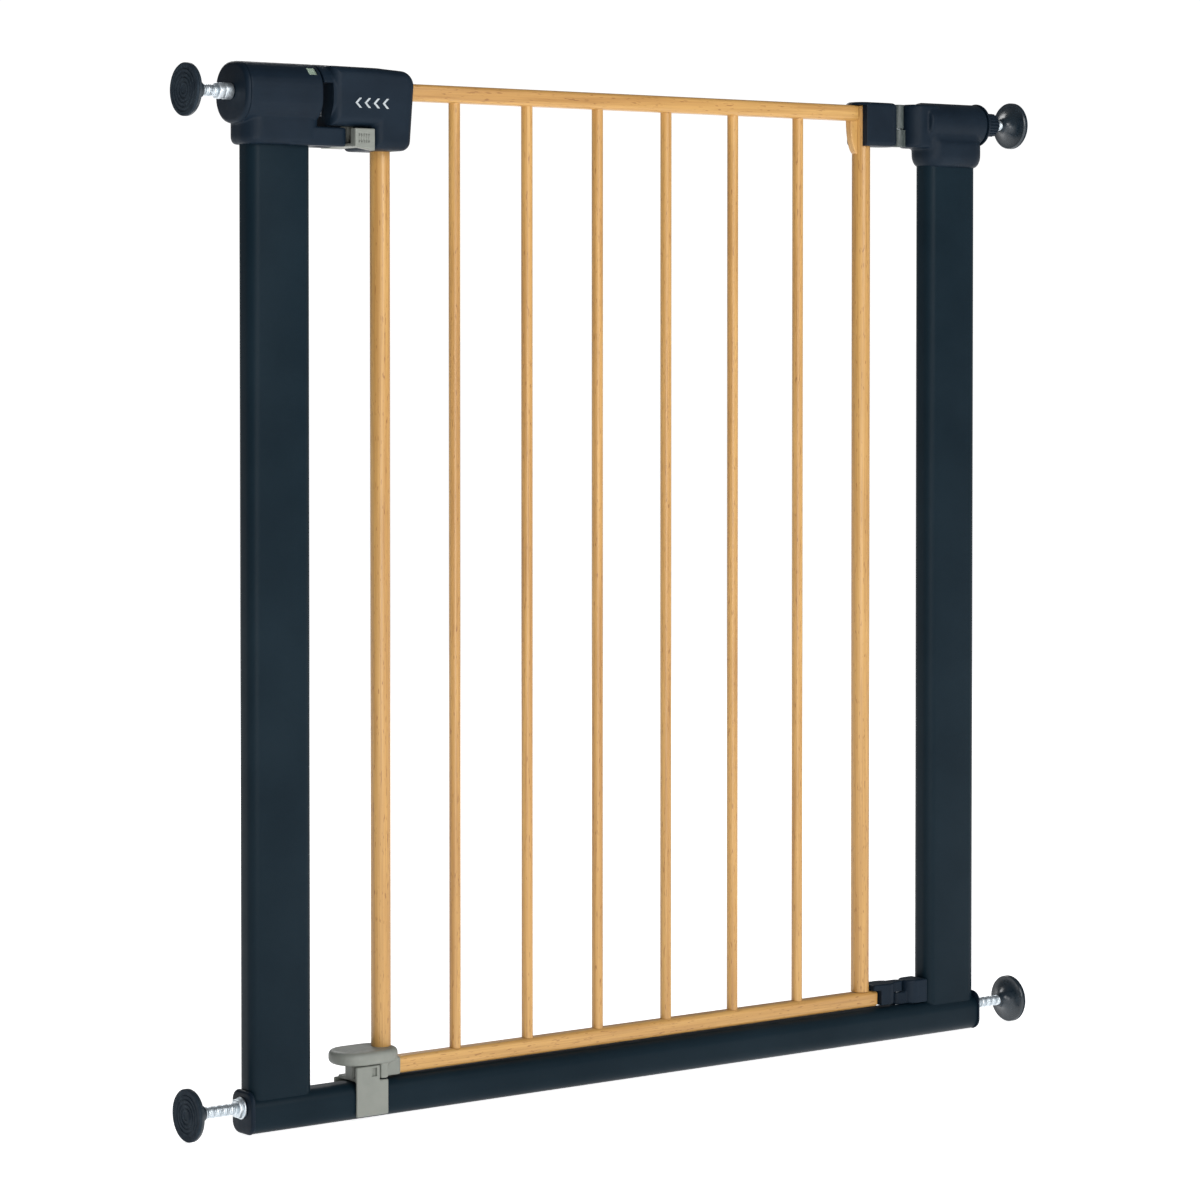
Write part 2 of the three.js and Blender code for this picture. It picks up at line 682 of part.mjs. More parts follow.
const web = { x0: noseX + 17, x1: noseX + 27, half: 4.5 };
const handleScrews = [
  { x: noseX + 12, z: handleTop - 10 },
  { x: bodyX + 5.5, z: handleBottom + 11 },
];
const handleScrewTip = -handleHalf + 6;
const handleCuts = [
  rod("Z", handleBottom - 1, stileTop + GAP, stileR + GAP, -stileX, 0, 32),
  deepBox(
    -stileX,
    handleRight + 1,
    RAIL_SIZE / 2 + GAP,
    topRailBottom - GAP,
    stileTop + GAP,
  ),
  deepBox(
    noseX - 1,
    boltBack + 1,
    BOLT_SIZE / 2 + SLIDE_GAP,
    boltZ - BOLT_SIZE / 2 - SLIDE_GAP,
    boltZ + BOLT_SIZE / 2 + SLIDE_GAP,
  ),
  deepBox(web.x0 - LATCH_TRAVEL - 0.5, web.x1 + 0.5, web.half + SLIDE_GAP, noseBottom - 1, boltZ),
];
const handleBlock = prism("Y", handleOutline(0), -handleHalf, handleHalf);
// The barrel's section is carried on over the top of the slot.
const handleLip = prism("X", barrelSection(0), -barrelEnd + LIP_GAP, noseX + HOUSING_WALL).intersect(
  box(-WALL_SPAN, 0, -handleHalf, handleHalf, handleTop - LIP_HEIGHT, handleTop),
);
const handleHollow = prism(
  "Y",
  handleOutline(HOUSING_WALL),
  -handleHalf + HOUSING_WALL,
  handleHalf - HOUSING_WALL,
);
const handleBosses = handleScrews.map(({ x, z }) =>
  rod("Y", -handleHalf + 1, handleHalf - 1, SCREW_HEAD.radius + 2, x, z, 24),
);
const handleShell = cut(
  join(cut(handleBlock, handleHollow), handleLip, ...handleBosses),
  ...handleCuts,
  ...handleScrews.map(({ x, z }) => screwHoleAlongY(x, handleHalf, handleScrewTip, z)),
);
const halfSpace = (y0, y1) => box(-WALL_SPAN, WALL_SPAN, y0, y1, 0, 2 * GATE_HEIGHT);
add("handle_front", handleShell.intersect(halfSpace(-HANDLE_DEPTH, -GAP / 2)), blackPlastic);
add("handle_rear", handleShell.intersect(halfSpace(GAP / 2, HANDLE_DEPTH)), blackPlastic);
handleScrews.forEach(({ x, z }, i) =>
  add(`handle_screw_${i + 1}`, screwAlongY(x, handleHalf - 0.5, handleScrewTip, z), zinc),
);

// The thumb slide hangs under the nose and carries the bolt along with it. Its underside
// runs from the ledge's bottom down to the handle's.
const slideBottom = handleBottom - 0.5;
const slideTop = noseBottom - 1.5;
const cheekIn = LEDGE_DEPTH / 2 + 0.7;
const slideRight = bodyX - 0.5;
const slidePlateTop = ledgeBottom - 0.8;
const slideSide = new THREE.Shape();
slideSide.moveTo(web.x0, ledgeBottom);
slideSide.lineTo(slideRight, slideBottom);
slideSide.lineTo(slideRight, slideTop);
slideSide.lineTo(web.x0, slideTop);
slideSide.closePath();
add(
  "thumb_slide",
  cut(
    join(
      cut(
        prism("Y", slideSide, -handleHalf, handleHalf),
        deepBox(web.x0 - 1, slideRight + 1, cheekIn, slidePlateTop, slideTop + 1),
      ),
      deepBox(web.x1 - 5, web.x1, web.half, slidePlateTop - 1, boltZ - BOLT_SIZE / 2 - GAP),
    ),
    deepBox(web.x0 - 1, web.x1 - 5, cheekIn, ledgeBottom - 2, slideTop),
  ),
  greyPlastic,
);
add(
  "latch_bolt",
  deepBox(noseX + 0.5, boltBack, BOLT_SIZE / 2, boltZ - BOLT_SIZE / 2, boltZ + BOLT_SIZE / 2),
  zinc,
);
add(
  "latch_spring",
  coilSpring(boltBack + GAP, -stileX - stileR - 2 * GAP, 0, boltZ, 3.4, 0.5, 5),
  springSteel,
);

// ---------------------------------------------------------------- door shoe
const shoe = { x0: catchBlock.x1 + 0.7, x1: -stileX + 11, z0: onCrossbar + 1.7, half: 15 };
const shoeTop = catchTop + 0.6;
const toe = { x0: -stileX - 40, x1: -stileX + 10, half: 18, top: shoeTop + 9.5 };
const shoeScrewZ = shoeTop + 5;
const shoeScrewTip = stileR - 4;
add(
  "door_shoe",
  cut(
    join(
      deepBox(shoe.x0, strap.x1, shoe.half, shoe.z0, shoeTop),
      deepBox(strap.x1 - 1, shoe.x1, 10, shoe.z0, shoeTop),
      prism(
        "Z",
        roundedRect(toe.x1 - toe.x0, 2 * toe.half, toe.half - 1, (toe.x0 + toe.x1) / 2, 0),
        shoeTop,
        toe.top,
        12,
      ),
    ),
    deepBox(bottomRail.x0 - GAP, shoe.x1 + 1, RAIL_SIZE / 2 + GAP, shoe.z0 - 1, railTop + GAP),
    rod("Z", railTop, toe.top + 1, stileR + GAP, -stileX, 0, 32),
    deepBox(
      shoe.x0 - 1,
      catchBolt.x1 + CATCH_TRAVEL + 2.5,
      catchHalf + SLIDE_GAP,
      catchZ - catchHalf - SLIDE_GAP,
      catchZ + catchHalf + SLIDE_GAP,
    ),
    screwHoleAlongY(-stileX, toe.half, shoeScrewTip, shoeScrewZ),
  ),
  greyPlastic,
);
add(
  "shoe_screw",
  screwAlongY(-stileX, toe.half - 0.5, stileR + 2 * GAP, shoeScrewZ),
  zinc,
);

// ---------------------------------------------------------------- door side of the hinges
const capPlate = stileTop + GAP;
add(
  "upper_hinge_block",
  cut(
    join(
      roundEndBar(hingeX - armOffset, stileX - 4, upperArmHalf, armBottom, armTop),
      rod("Z", armBottom, armTop, upperArmHalf, stileX, 0, 40),
      rod("Z", knuckleSplit + 0.5, armTop - 0.5, knuckleR, hingeX, 0, 24),
      deepBox(hingeX - armOffset, hingeX, knuckleR, knuckleSplit + 0.5, armTop - 0.5),
    ),
    rod("Z", armBottom - 1, capPlate, stileR + GAP, stileX, 0, 32),
    deepBox(stileX - 20, stileX, RAIL_SIZE / 2 + 2 * GAP, armBottom - 1, capPlate),
    box(stileX - 20, stileX - 4, -20, 20, armBottom - 1, capPlate),
    rod("Z", knuckleSplit, upperPinTop + GAP, HINGE_PIN / 2 + BORE_GAP, hingeX, 0, 24),
  ),
  blackPlastic,
);
const lowerBlockX0 = bottomRail.x1 + 1;
add(
  "lower_hinge_block",
  cut(
    join(
      roundEndBar(hingeX - lowerOffset, lowerBlockX0, LOWER_ARM_HALF, onCrossbar + 2, lowerHingeTop),
      deepBox(stileX + stileR + 0.5, lowerBlockX0 + 1, LOWER_ARM_HALF, railTop + GAP, lowerHingeTop),
      rod("Z", lowerSplit + 0.5, lowerHingeTop, knuckleR, hingeX, 0, 24),
      deepBox(hingeX - lowerOffset, hingeX, knuckleR, lowerSplit + 0.5, lowerHingeTop),
    ),
    rod("Z", lowerSplit, lowerHingeTop - GAP, HINGE_PIN / 2 + BORE_GAP, hingeX, 0, 24),
  ),
  blackPlastic,
);

// ---------------------------------------------------------------- spindles, nuts and wall pads
const HORN_STEPS = 4;

// Each set is made with its wall face at x = 0 and the gate towards +X, then set in place.
function spindleSet(name, place, z, turnedRound, nut, nutEnd, nutMaterial) {
  const set = new THREE.Group();
  const padR = PAD_DIAMETER / 2;
  const neckR = SPINDLE_DIAMETER / 2 + 1.2;
  const root = PAD_FACE + GAP;
  const horn = [[0, root], [padR, root], [padR, root + 2.4], [padR - 1.5, root + 3.4]];
  for (let i = 1; i <= HORN_STEPS; i += 1) {
    const turn = (i / HORN_STEPS) * (Math.PI / 2);
    const r = neckR + (padR - 1.5 - neckR) * (1 - Math.sin(turn));
    horn.push([r, root + 3.4 + (PAD_LENGTH - root - 5.4) * (1 - Math.cos(turn))]);
  }
  horn.push([neckR, PAD_LENGTH], [0, PAD_LENGTH]);
  const rodStart = PAD_LENGTH - 5;
  const spindleR = SPINDLE_DIAMETER / 2;
  const padBody = cut(
    turned(horn),
    rod("X", rodStart - GAP, PAD_LENGTH + 1, spindleR + GAP, 0, 0, 24),
  );
  const rubber = [[0, 0], [padR - 0.8, 0], [padR, 0.8], [padR, PAD_FACE], [0, PAD_FACE]];
  const nutStart = nutEnd - nut.length;
  const nutBody = cut(
    rod("X", nutStart, nutEnd, nut.radius, 0, 0, 32),
    rod("X", nutStart - 1, nutEnd + 1, spindleR + BORE_GAP, 0, 0, 20),
  );
  add(`${name}_pad_face`, turned(rubber), darkRubber, set);
  add(`${name}_pad`, padBody, blackPlastic, set);
  add(`${name}_spindle`, rod("X", rodStart, rodStart + SPINDLE_LENGTH, spindleR, 0, 0, 20), zinc, set);
  add(`${name}_nut`, nutBody, nutMaterial, set);
  set.position.set(place, 0, z);
  set.rotation.z = turnedRound ? Math.PI : 0;
  gate.add(set);
}
const atHousing = PAD_STANDOFF - BARREL_OVERHANG - GAP;
const atPlug = PAD_STANDOFF - PLUG_FLANGE - GAP;
const wall = WALL_SPAN / 2;
spindleSet("top_left", -wall, upperSpindleZ, false, SLEEVE_NUT, atHousing, zinc);
spindleSet("bottom_left", -wall, lowerSpindleZ, false, FLANGE_NUT, atPlug, zinc);
spindleSet("top_right", wall, upperSpindleZ, true, KNOB, atHousing, blackPlastic);
spindleSet("bottom_right", wall, lowerSpindleZ, true, FLANGE_NUT, atPlug, zinc);

export default gate;
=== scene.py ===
# %% [markdown]
# # A pressure-fit safety gate
# The gate is a painted steel U-frame pressed between two walls, with a beech-finished barred
# door hung in it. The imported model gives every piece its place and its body. This script
# dresses it: it makes fine meshes for the pieces that show, and procedural finishes for all.

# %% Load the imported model
import json
import math

import bmesh
import bpy
from mathutils import Matrix, Vector


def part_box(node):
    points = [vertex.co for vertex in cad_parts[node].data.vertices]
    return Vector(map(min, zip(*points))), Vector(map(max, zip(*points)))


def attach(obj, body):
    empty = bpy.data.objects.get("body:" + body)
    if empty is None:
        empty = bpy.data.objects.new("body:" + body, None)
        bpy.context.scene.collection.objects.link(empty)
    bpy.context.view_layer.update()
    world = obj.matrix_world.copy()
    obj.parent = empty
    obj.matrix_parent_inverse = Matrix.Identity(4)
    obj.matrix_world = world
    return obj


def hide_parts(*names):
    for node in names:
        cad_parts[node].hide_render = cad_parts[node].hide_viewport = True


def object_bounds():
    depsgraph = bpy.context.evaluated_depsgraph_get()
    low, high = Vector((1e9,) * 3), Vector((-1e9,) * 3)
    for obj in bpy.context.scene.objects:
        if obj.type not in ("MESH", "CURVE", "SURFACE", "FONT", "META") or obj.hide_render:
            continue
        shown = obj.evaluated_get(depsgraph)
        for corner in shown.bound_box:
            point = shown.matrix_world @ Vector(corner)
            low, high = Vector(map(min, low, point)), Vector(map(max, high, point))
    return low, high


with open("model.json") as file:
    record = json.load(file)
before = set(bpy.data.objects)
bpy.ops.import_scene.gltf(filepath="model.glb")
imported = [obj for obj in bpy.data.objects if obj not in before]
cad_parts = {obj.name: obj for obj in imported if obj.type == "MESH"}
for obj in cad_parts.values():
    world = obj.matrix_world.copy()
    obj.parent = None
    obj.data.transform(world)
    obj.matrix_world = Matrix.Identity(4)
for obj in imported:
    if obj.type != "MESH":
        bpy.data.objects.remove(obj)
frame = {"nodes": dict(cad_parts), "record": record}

MM = 0.001
cad_low, cad_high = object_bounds()
record = frame["record"]
BODY_OF = {n: body for body, nodes in record["behaviour"]["bodies"].items() for n in nodes}
SLOT_OF = {part["node"]: part["material_slot"] for part in record["subparts"]}


# %% [markdown]
# ## Measures
# Everything is placed from the boxes of the model's own nodes, read in millimetres, so a piece
# made here lands where the model says. `Box` keeps one node's corners under plain names.

# %% Read the nodes' boxes
class Box:
    """A node's box in millimetres."""

    def __init__(self, node):
        low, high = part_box(node)
        self.x0, self.y0, self.z0 = (v / MM for v in low)
        self.x1, self.y1, self.z1 = (v / MM for v in high)
        self.xm, self.zm = (self.x0 + self.x1) / 2, (self.z0 + self.z1) / 2
        self.w, self.d, self.h = self.x1 - self.x0, self.y1 - self.y0, self.z1 - self.z0


gate = {name: Box(name) for name in BODY_OF}
top = cad_high[2] / MM
print("gate is", round(gate["crossbar"].w), "mm over its crossbar and", round(top), "mm high")


# %% [markdown]
# ## Finishes
# A procedural finish reads the piece's own coordinates, so it sticks to the piece wherever the
# door swings. Each one starts from the Principled shader. Values that are the same all over are
# set on the shader itself; noise only drives what really varies: tone, gloss and fine relief.

# %% Helpers for materials
def start_finish(name, roughness, metallic=0.0, sheen_back=0.5):
    """A new material with its Principled shader ready; sheen_back is how much it mirrors."""
    mat = bpy.data.materials.new(name)
    mat.use_nodes = True
    shader = mat.node_tree.nodes["Principled BSDF"]
    shader.inputs["Roughness"].default_value = roughness
    shader.inputs["Metallic"].default_value = metallic
    shader.inputs["Specular IOR Level"].default_value = sheen_back
    return mat, shader


def noise(mat, scale, detail=3.0, stretch=(1.0, 1.0, 1.0), warp=0.0):
    """A noise pattern on the piece's own coordinates, drawn out by stretch."""
    nodes, links = mat.node_tree.nodes, mat.node_tree.links
    place = nodes.new("ShaderNodeTexCoord")
    mapping = nodes.new("ShaderNodeMapping")
    mapping.inputs["Scale"].default_value = stretch
    pattern = nodes.new("ShaderNodeTexNoise")
    pattern.inputs["Scale"].default_value = scale
    pattern.inputs["Detail"].default_value = detail
    pattern.inputs["Distortion"].default_value = warp
    links.new(place.outputs["Object"], mapping.inputs["Vector"])
    links.new(mapping.outputs["Vector"], pattern.inputs["Vector"])
    return pattern.outputs["Fac"]


def ramp(mat, value, *stops):
    """Turns a pattern into colours: each stop is (place, colour)."""
    node = mat.node_tree.nodes.new("ShaderNodeValToRGB")
    while len(node.color_ramp.elements) < len(stops):
        node.color_ramp.elements.new(0.5)
    for element, (place, colour) in zip(node.color_ramp.elements, stops):
        element.position = place
        element.color = (*colour, 1.0)
    mat.node_tree.links.new(value, node.inputs["Fac"])
    return node.outputs["Color"]


def mix(mat, first, second, amount, blend="MIX"):
    """Blends two colours; amount is a number or a pattern."""
    node = mat.node_tree.nodes.new("ShaderNodeMix")
    node.data_type, node.blend_type = "RGBA", blend
    links = mat.node_tree.links
    links.new(first, node.inputs["A"])
    links.new(second, node.inputs["B"])
    if isinstance(amount, float):
        node.inputs["Factor"].default_value = amount
    else:
        links.new(amount, node.inputs["Factor"])
    return node.outputs["Result"]


def spread(mat, value, low, high):
    """Maps a pattern onto the range from low to high."""
    node = mat.node_tree.nodes.new("ShaderNodeMapRange")
    node.inputs["From Min"].default_value = 0.3
    node.inputs["From Max"].default_value = 0.7
    node.inputs["To Min"].default_value = low
    node.inputs["To Max"].default_value = high
    mat.node_tree.links.new(value, node.inputs["Value"])
    return node.outputs["Result"]


def relief(mat, shader, *layers):
    """Adds fine relief: each layer is (pattern, depth in millimetres)."""
    nodes, links = mat.node_tree.nodes, mat.node_tree.links
    last = None
    for pattern, depth in layers:
        node = nodes.new("ShaderNodeBump")
        node.inputs["Distance"].default_value = depth * MM
        links.new(pattern, node.inputs["Height"])
        if last:
            links.new(last, node.inputs["Normal"])
        last = node.outputs["Normal"]
    links.new(last, shader.inputs["Normal"])


def paint(mat, shader, colour=None, roughness=None):
    """Wires a varying colour and a varying roughness into the shader."""
    if colour:
        mat.node_tree.links.new(colour, shader.inputs["Base Color"])
    if roughness:
        mat.node_tree.links.new(roughness, shader.inputs["Roughness"])


# %% [markdown]
# ### Powder coat, moulded plastic and rubber
# Powder coat melts into a skin with a faint orange peel about a millimetre across. Moulded
# plastic copies the tool's spark-eroded grain, finer and drier. Rubber is rougher still, and
# its tone is a little mottled.

# %% Finishes that drift
def drifting(name, roughness, tone, dark, light, gloss=None, ends=(0.3, 0.7), **more):
    """A finish whose tone drifts from dark to light over a noise, and its gloss over another.

    tone is a noise's scale and detail; gloss is the same and then the range of roughness.
    """
    mat, shader = start_finish(name, roughness, **more)
    colour = ramp(mat, noise(mat, *tone), (ends[0], dark), (ends[1], light))
    rough = spread(mat, noise(mat, *gloss[:2]), *gloss[2:]) if gloss else None
    paint(mat, shader, colour, rough)
    return mat, shader


# %% Slate powder coat
slate, shader = drifting(
    "slate_powder_coat", 0.42, (14.0, 4.0), (0.0034, 0.0112, 0.0180), (0.0060, 0.0155, 0.0235),
    (60.0, 5.0, 0.40, 0.45), (0.32, 0.68), sheen_back=0.09,
)
relief(slate, shader, (noise(slate, 900.0, 2.0), 0.035), (noise(slate, 3500.0, 1.0), 0.008))

# %% Charcoal moulded plastic
charcoal, shader = drifting(
    "charcoal_moulded_plastic", 0.4, (30.0, 5.0), (0.0034, 0.0092, 0.0175),
    (0.0062, 0.0142, 0.0250), (240.0, 4.0, 0.40, 0.54), sheen_back=0.13,
)
relief(charcoal, shader, (noise(charcoal, 2600.0, 3.0), 0.03), (noise(charcoal, 70.0), 0.02))

# %% Polished black plastic for the pads
polished, shader = drifting(
    "polished_black_plastic", 0.3, (40.0, 5.0), (0.008, 0.016, 0.024), (0.013, 0.023, 0.033),
    (300.0, 4.0, 0.24, 0.38), sheen_back=0.6,
)
relief(polished, shader, (noise(polished, 2600.0, 3.0), 0.012))

# %% Rubber
rubber, shader = drifting(
    "grey_black_rubber", 0.8, (180.0, 6.0), (0.010, 0.018, 0.028), (0.022, 0.034, 0.046),
    (500.0, 3.0, 0.7, 0.9), (0.35, 0.75), sheen_back=0.2,
)
relief(rubber, shader, (noise(rubber, 1800.0, 4.0), 0.06))


# %% [markdown]
# ### Beech
# Beech is a pale, straight-grained wood. What gives it away is the fleck: short dark dashes that
# lie along the grain. Three layers of noise make it, all drawn out along the length of the
# piece: broad bands of tone, fine streaks and the flecks. Uprights and rails run different ways,
# so the same function is called once for each direction.

# %% Beech finish along a chosen axis
def beech_finish(name, axis):
    """Beech with its grain along axis (0 for X, 2 for Z)."""
    mat, shader = start_finish(name, 0.42)

    def along(across, length):
        return tuple(length if i == axis else across for i in range(3))

    bands = noise(mat, 1.0, 3.0, along(130.0, 4.0), warp=0.6)
    streaks = noise(mat, 1.0, 4.0, along(900.0, 16.0))
    flecks = noise(mat, 1.0, 1.0, along(1100.0, 150.0))
    tone = ramp(
        mat, bands, (0.30, (0.45, 0.232, 0.060)), (0.50, (0.54, 0.298, 0.084)),
        (0.72, (0.62, 0.362, 0.112)),
    )
    fine = ramp(mat, streaks, (0.25, (0.70, 0.62, 0.52)), (0.60, (1.0, 1.0, 1.0)))
    dash = ramp(mat, flecks, (0.66, (1.0, 1.0, 1.0)), (0.72, (0.55, 0.42, 0.32)))
    tone = mix(mat, tone, fine, 0.75, "MULTIPLY")
    paint(mat, shader, mix(mat, tone, dash, 0.8, "MULTIPLY"), spread(mat, streaks, 0.36, 0.5))
    relief(mat, shader, (streaks, 0.03), (flecks, 0.02))
    shader.inputs["Coat Weight"].default_value = 0.3
    shader.inputs["Coat Roughness"].default_value = 0.22
    return mat


beech_up = beech_finish("beech_along_uprights", 2)
beech_across = beech_finish("beech_along_rails", 0)

# %% [markdown]
# ### Grey plastic, zinc, green and clear plastic, spring steel
# The catch parts are moulded in a warm grey. Zinc plating is a bluish metal with a cloudy
# spangle, so its tone and its gloss both drift a little.

# %% Grey moulded plastic
grey, shader = drifting(
    "warm_grey_plastic", 0.5, (45.0, 5.0), (0.185, 0.197, 0.175), (0.225, 0.237, 0.210),
    (300.0, 3.0, 0.42, 0.58),
)
relief(grey, shader, (noise(grey, 2200.0, 2.0), 0.03))

# %% Zinc plate
zinc, shader = drifting(
    "zinc_plate", 0.34, (220.0, 5.0), (0.60, 0.66, 0.70), (0.76, 0.81, 0.85),
    (500.0, 4.0, 0.38, 0.52), metallic=1.0,
)
relief(zinc, shader, (noise(zinc, 1600.0, 3.0), 0.006))

# %% Hinge knuckles and print
# The knuckles' grey is partly a painted highlight. It is set lighter than the housing's black so
# that it stands in for the light the round hinge barrel catches, as well as for a grey bush.
knuckle_grey_and_highlight, shader = drifting(
    "knuckle_grey_plastic", 0.4, (200.0, 5.0), (0.040, 0.052, 0.050), (0.065, 0.080, 0.076)
)
relief(knuckle_grey_and_highlight, shader, (noise(knuckle_grey_and_highlight, 2000.0, 2.0), 0.02))
pale_print, shader = drifting(
    "pale_print", 0.5, (300.0, 5.0), (0.36, 0.40, 0.42), (0.48, 0.52, 0.54)
)

# %% Spring steel, green flag and clear window
steel, shader = drifting(
    "spring_steel", 0.3, (400.0, 3.0), (0.3, 0.3, 0.31), (0.45,) * 3, metallic=1.0
)
green, shader = drifting(
    "green_plastic", 0.3, (300.0, 3.0), (0.10, 0.34, 0.05), (0.15, 0.44, 0.08)
)
clear, shader = drifting(
    "clear_window", 0.08, (200.0, 3.0), (0.62, 0.80, 0.62), (0.72, 0.88, 0.72)
)
shader.inputs["Alpha"].default_value = 0.3
shader.inputs["IOR"].default_value = 1.49
print("made", len(bpy.data.materials), "materials")

FINISH_OF_SLOT = {
    "slate_paint": slate,
    "black_plastic": charcoal,
    "beech_finish": beech_up,
    "grey_plastic": grey,
    "zinc": zinc,
    "dark_rubber": rubber,
    "green_plastic": green,
    "clear_plastic": clear,
    "spring_steel": steel,
}


# %% [markdown]
# ## Shaping tools
# Most pieces are a flat outline drawn out along an axis, with its ends rounded over. One
# function does that: it stacks copies of the outline, each drawn in a little along a quarter
# circle at the ends, and skins them. A real moulding or a cut tube never has a knife edge, and
# the small radius is what catches the light.

# %% Outlines and skins
def rounded_rect(width, height, corner, u=0.0, v=0.0, steps=8):
    """Points round a rectangle with round corners, centred on (u, v)."""
    points = []
    for quarter, (su, sv) in enumerate(((1, 1), (-1, 1), (-1, -1), (1, -1))):
        cu, cv = u + su * (width / 2 - corner), v + sv * (height / 2 - corner)
        for i in range(steps + 1):
            turn = math.pi / 2 * (quarter + i / steps)
            points.append((cu + corner * math.cos(turn), cv + corner * math.sin(turn)))
    return points


def circle(radius, u=0.0, v=0.0, sides=64):
    """Points round a circle."""
    turns = [2 * math.pi * i / sides for i in range(sides)]
    return [(u + radius * math.cos(t), v + radius * math.sin(t)) for t in turns]


def place(axis, u, v, at):
    """A point of an outline across an axis, in metres."""
    spot = {"X": (at, u, v), "Y": (u, at, v), "Z": (u, v, at)}[axis]
    return Vector(spot) * MM


def skin(rings):
    """A bmesh through rings of points, closed at both ends."""
    bm = bmesh.new()
    made = [[bm.verts.new(p) for p in ring] for ring in rings]
    for low, high in zip(made, made[1:]):
        for i in range(len(low)):
            j = (i + 1) % len(low)
            bm.faces.new((low[i], low[j], high[j], high[i]))
    bm.faces.new(made[0])
    bm.faces.new(made[-1])
    bmesh.ops.recalc_face_normals(bm, faces=bm.faces)
    return bm


def rounded_prism(axis, outline, low, high, edge_low=0.5, edge_high=0.5, steps=4, reach=1.0):
    """An outline drawn out from low to high; outline(inset) gives its points.

    The ends are drawn in by their edge's radius; reach stretches that round along the axis.
    """
    rings = []
    for i in range(steps + 1 if edge_low else 1):
        turn = math.pi / 2 * i / steps if edge_low else math.pi / 2
        inset, rise = edge_low * (1 - math.sin(turn)), edge_low * (1 - math.cos(turn)) * reach
        rings.append([place(axis, u, v, low + rise) for u, v in outline(inset)])
    for i in range(steps + 1 if edge_high else 1):
        turn = math.pi / 2 * (1 - i / steps) if edge_high else math.pi / 2
        inset, rise = edge_high * (1 - math.sin(turn)), edge_high * (1 - math.cos(turn)) * reach
        rings.append([place(axis, u, v, high - rise) for u, v in outline(inset)])
    return skin(rings)


def rect_outline(width, height, corner, u=0.0, v=0.0):
    """An outline function for a rounded rectangle."""
    return lambda inset: rounded_rect(
        width - 2 * inset, height - 2 * inset, max(corner - inset, 0.3), u, v
    )


def round_outline(radius, u=0.0, v=0.0, sides=64):
    """An outline function for a circle."""
    return lambda inset: circle(radius - inset, u, v, sides)


LEAST_RADIUS = 0.02


def turned(axis, profile, u=0.0, v=0.0, sides=96):
    """A turned piece: profile is a list of (radius, place along the axis)."""
    rings = [(circle(max(radius, LEAST_RADIUS), u, v, sides), at) for radius, at in profile]
    return skin([[place(axis, *spot, at) for spot in ring] for ring, at in rings])


# %% [markdown]
# A finished piece is a plain mesh whose object sits at the origin. `finish_piece` names the
# body it rides on and the node it stands for. Smooth shading stops at edges sharper than an
# angle, so flats stay flat.

# %% Turn shapes into pieces
SHARP = math.radians(38)


def mark_sharp(bm):
    """Smooth shading stops at edges sharper than SHARP."""
    for edge in bm.edges:
        edge.smooth = edge.calc_face_angle(0.0) < SHARP


def add_object(name, data):
    """A new object in the scene, at the origin."""
    made = bpy.data.objects.new(name, data)
    bpy.context.collection.objects.link(made)
    return made


def to_object(name, bm, material):
    """A mesh object from a bmesh, smooth apart from its sharp edges."""
    bmesh.ops.remove_doubles(bm, verts=bm.verts, dist=1e-7)
    bmesh.ops.triangulate(bm, faces=[f for f in bm.faces if len(f.verts) > 4])
    for face in bm.faces:
        face.smooth = True
    mark_sharp(bm)
    mesh = bpy.data.meshes.new(name)
    bm.to_mesh(mesh)
    bm.free()
    mesh.materials.append(material)
    return add_object(name, mesh)


def smooth_by_angle(piece):
    """Smooth shading on a finished mesh, stopping at its sharp edges."""
    bm = bmesh.new()
    bm.from_mesh(piece.data)
    for face in bm.faces:
        face.smooth = True
    mark_sharp(bm)
    bm.to_mesh(piece.data)
    bm.free()
    return piece


def finish_piece(piece, *nodes):
    """Rides on the first node's body and stands for all the nodes named."""
    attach(piece, BODY_OF[nodes[0]])
    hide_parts(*nodes)
    print(piece.name, len(piece.data.polygons), "faces, on", BODY_OF[nodes[0]])
    return piece


def ride_along(piece, node):
    """A small grey extra rides on a node's body and stands for no node."""
    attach(piece, BODY_OF[node])
    print(piece.name, len(piece.data.polygons), "faces, on", BODY_OF[node])


def make_piece(name, bm, material, *nodes):
    """A finished piece straight from its bmesh."""
    return finish_piece(to_object(name, bm, material), *nodes)


def plain_mesh(piece):
    """Applies a piece's modifiers, leaving a plain mesh."""
    bpy.context.view_layer.update()
    seen = piece.evaluated_get(bpy.context.evaluated_depsgraph_get())
    mesh = bpy.data.meshes.new_from_object(seen)
    piece.modifiers.clear()
    old, piece.data = piece.data, mesh
    mesh.name = piece.name
    bpy.data.meshes.remove(old)
    return piece


# %% [markdown]
# Mouldings flow from one form into the next. Their parts are laid over each other, melted into
# one skin by a voxel remesh and eased with a few smoothing passes, which leaves the soft inside
# corners that a mould gives. Openings are cut afterwards, so their edges stay crisp.

# %% Moulded shapes and cuts
def join_shapes(*shapes):
    """Several bmeshes as one."""
    whole = bmesh.new()
    for bm in shapes:
        mesh = bpy.data.meshes.new("part")
        bm.to_mesh(mesh)
        bm.free()
        whole.from_mesh(mesh)
        bpy.data.meshes.remove(mesh)
    return whole


def moulded(name, shapes, material, voxel=0.6, passes=4):
    """Melts overlapping shapes into one moulding."""
    piece = to_object(name, join_shapes(*shapes), material)
    remesh = piece.modifiers.new("melt", "REMESH")
    remesh.mode, remesh.voxel_size, remesh.use_smooth_shade = "VOXEL", voxel * MM, True
    ease = piece.modifiers.new("ease", "SMOOTH")
    ease.factor, ease.iterations = 0.5, passes
    return plain_mesh(piece)


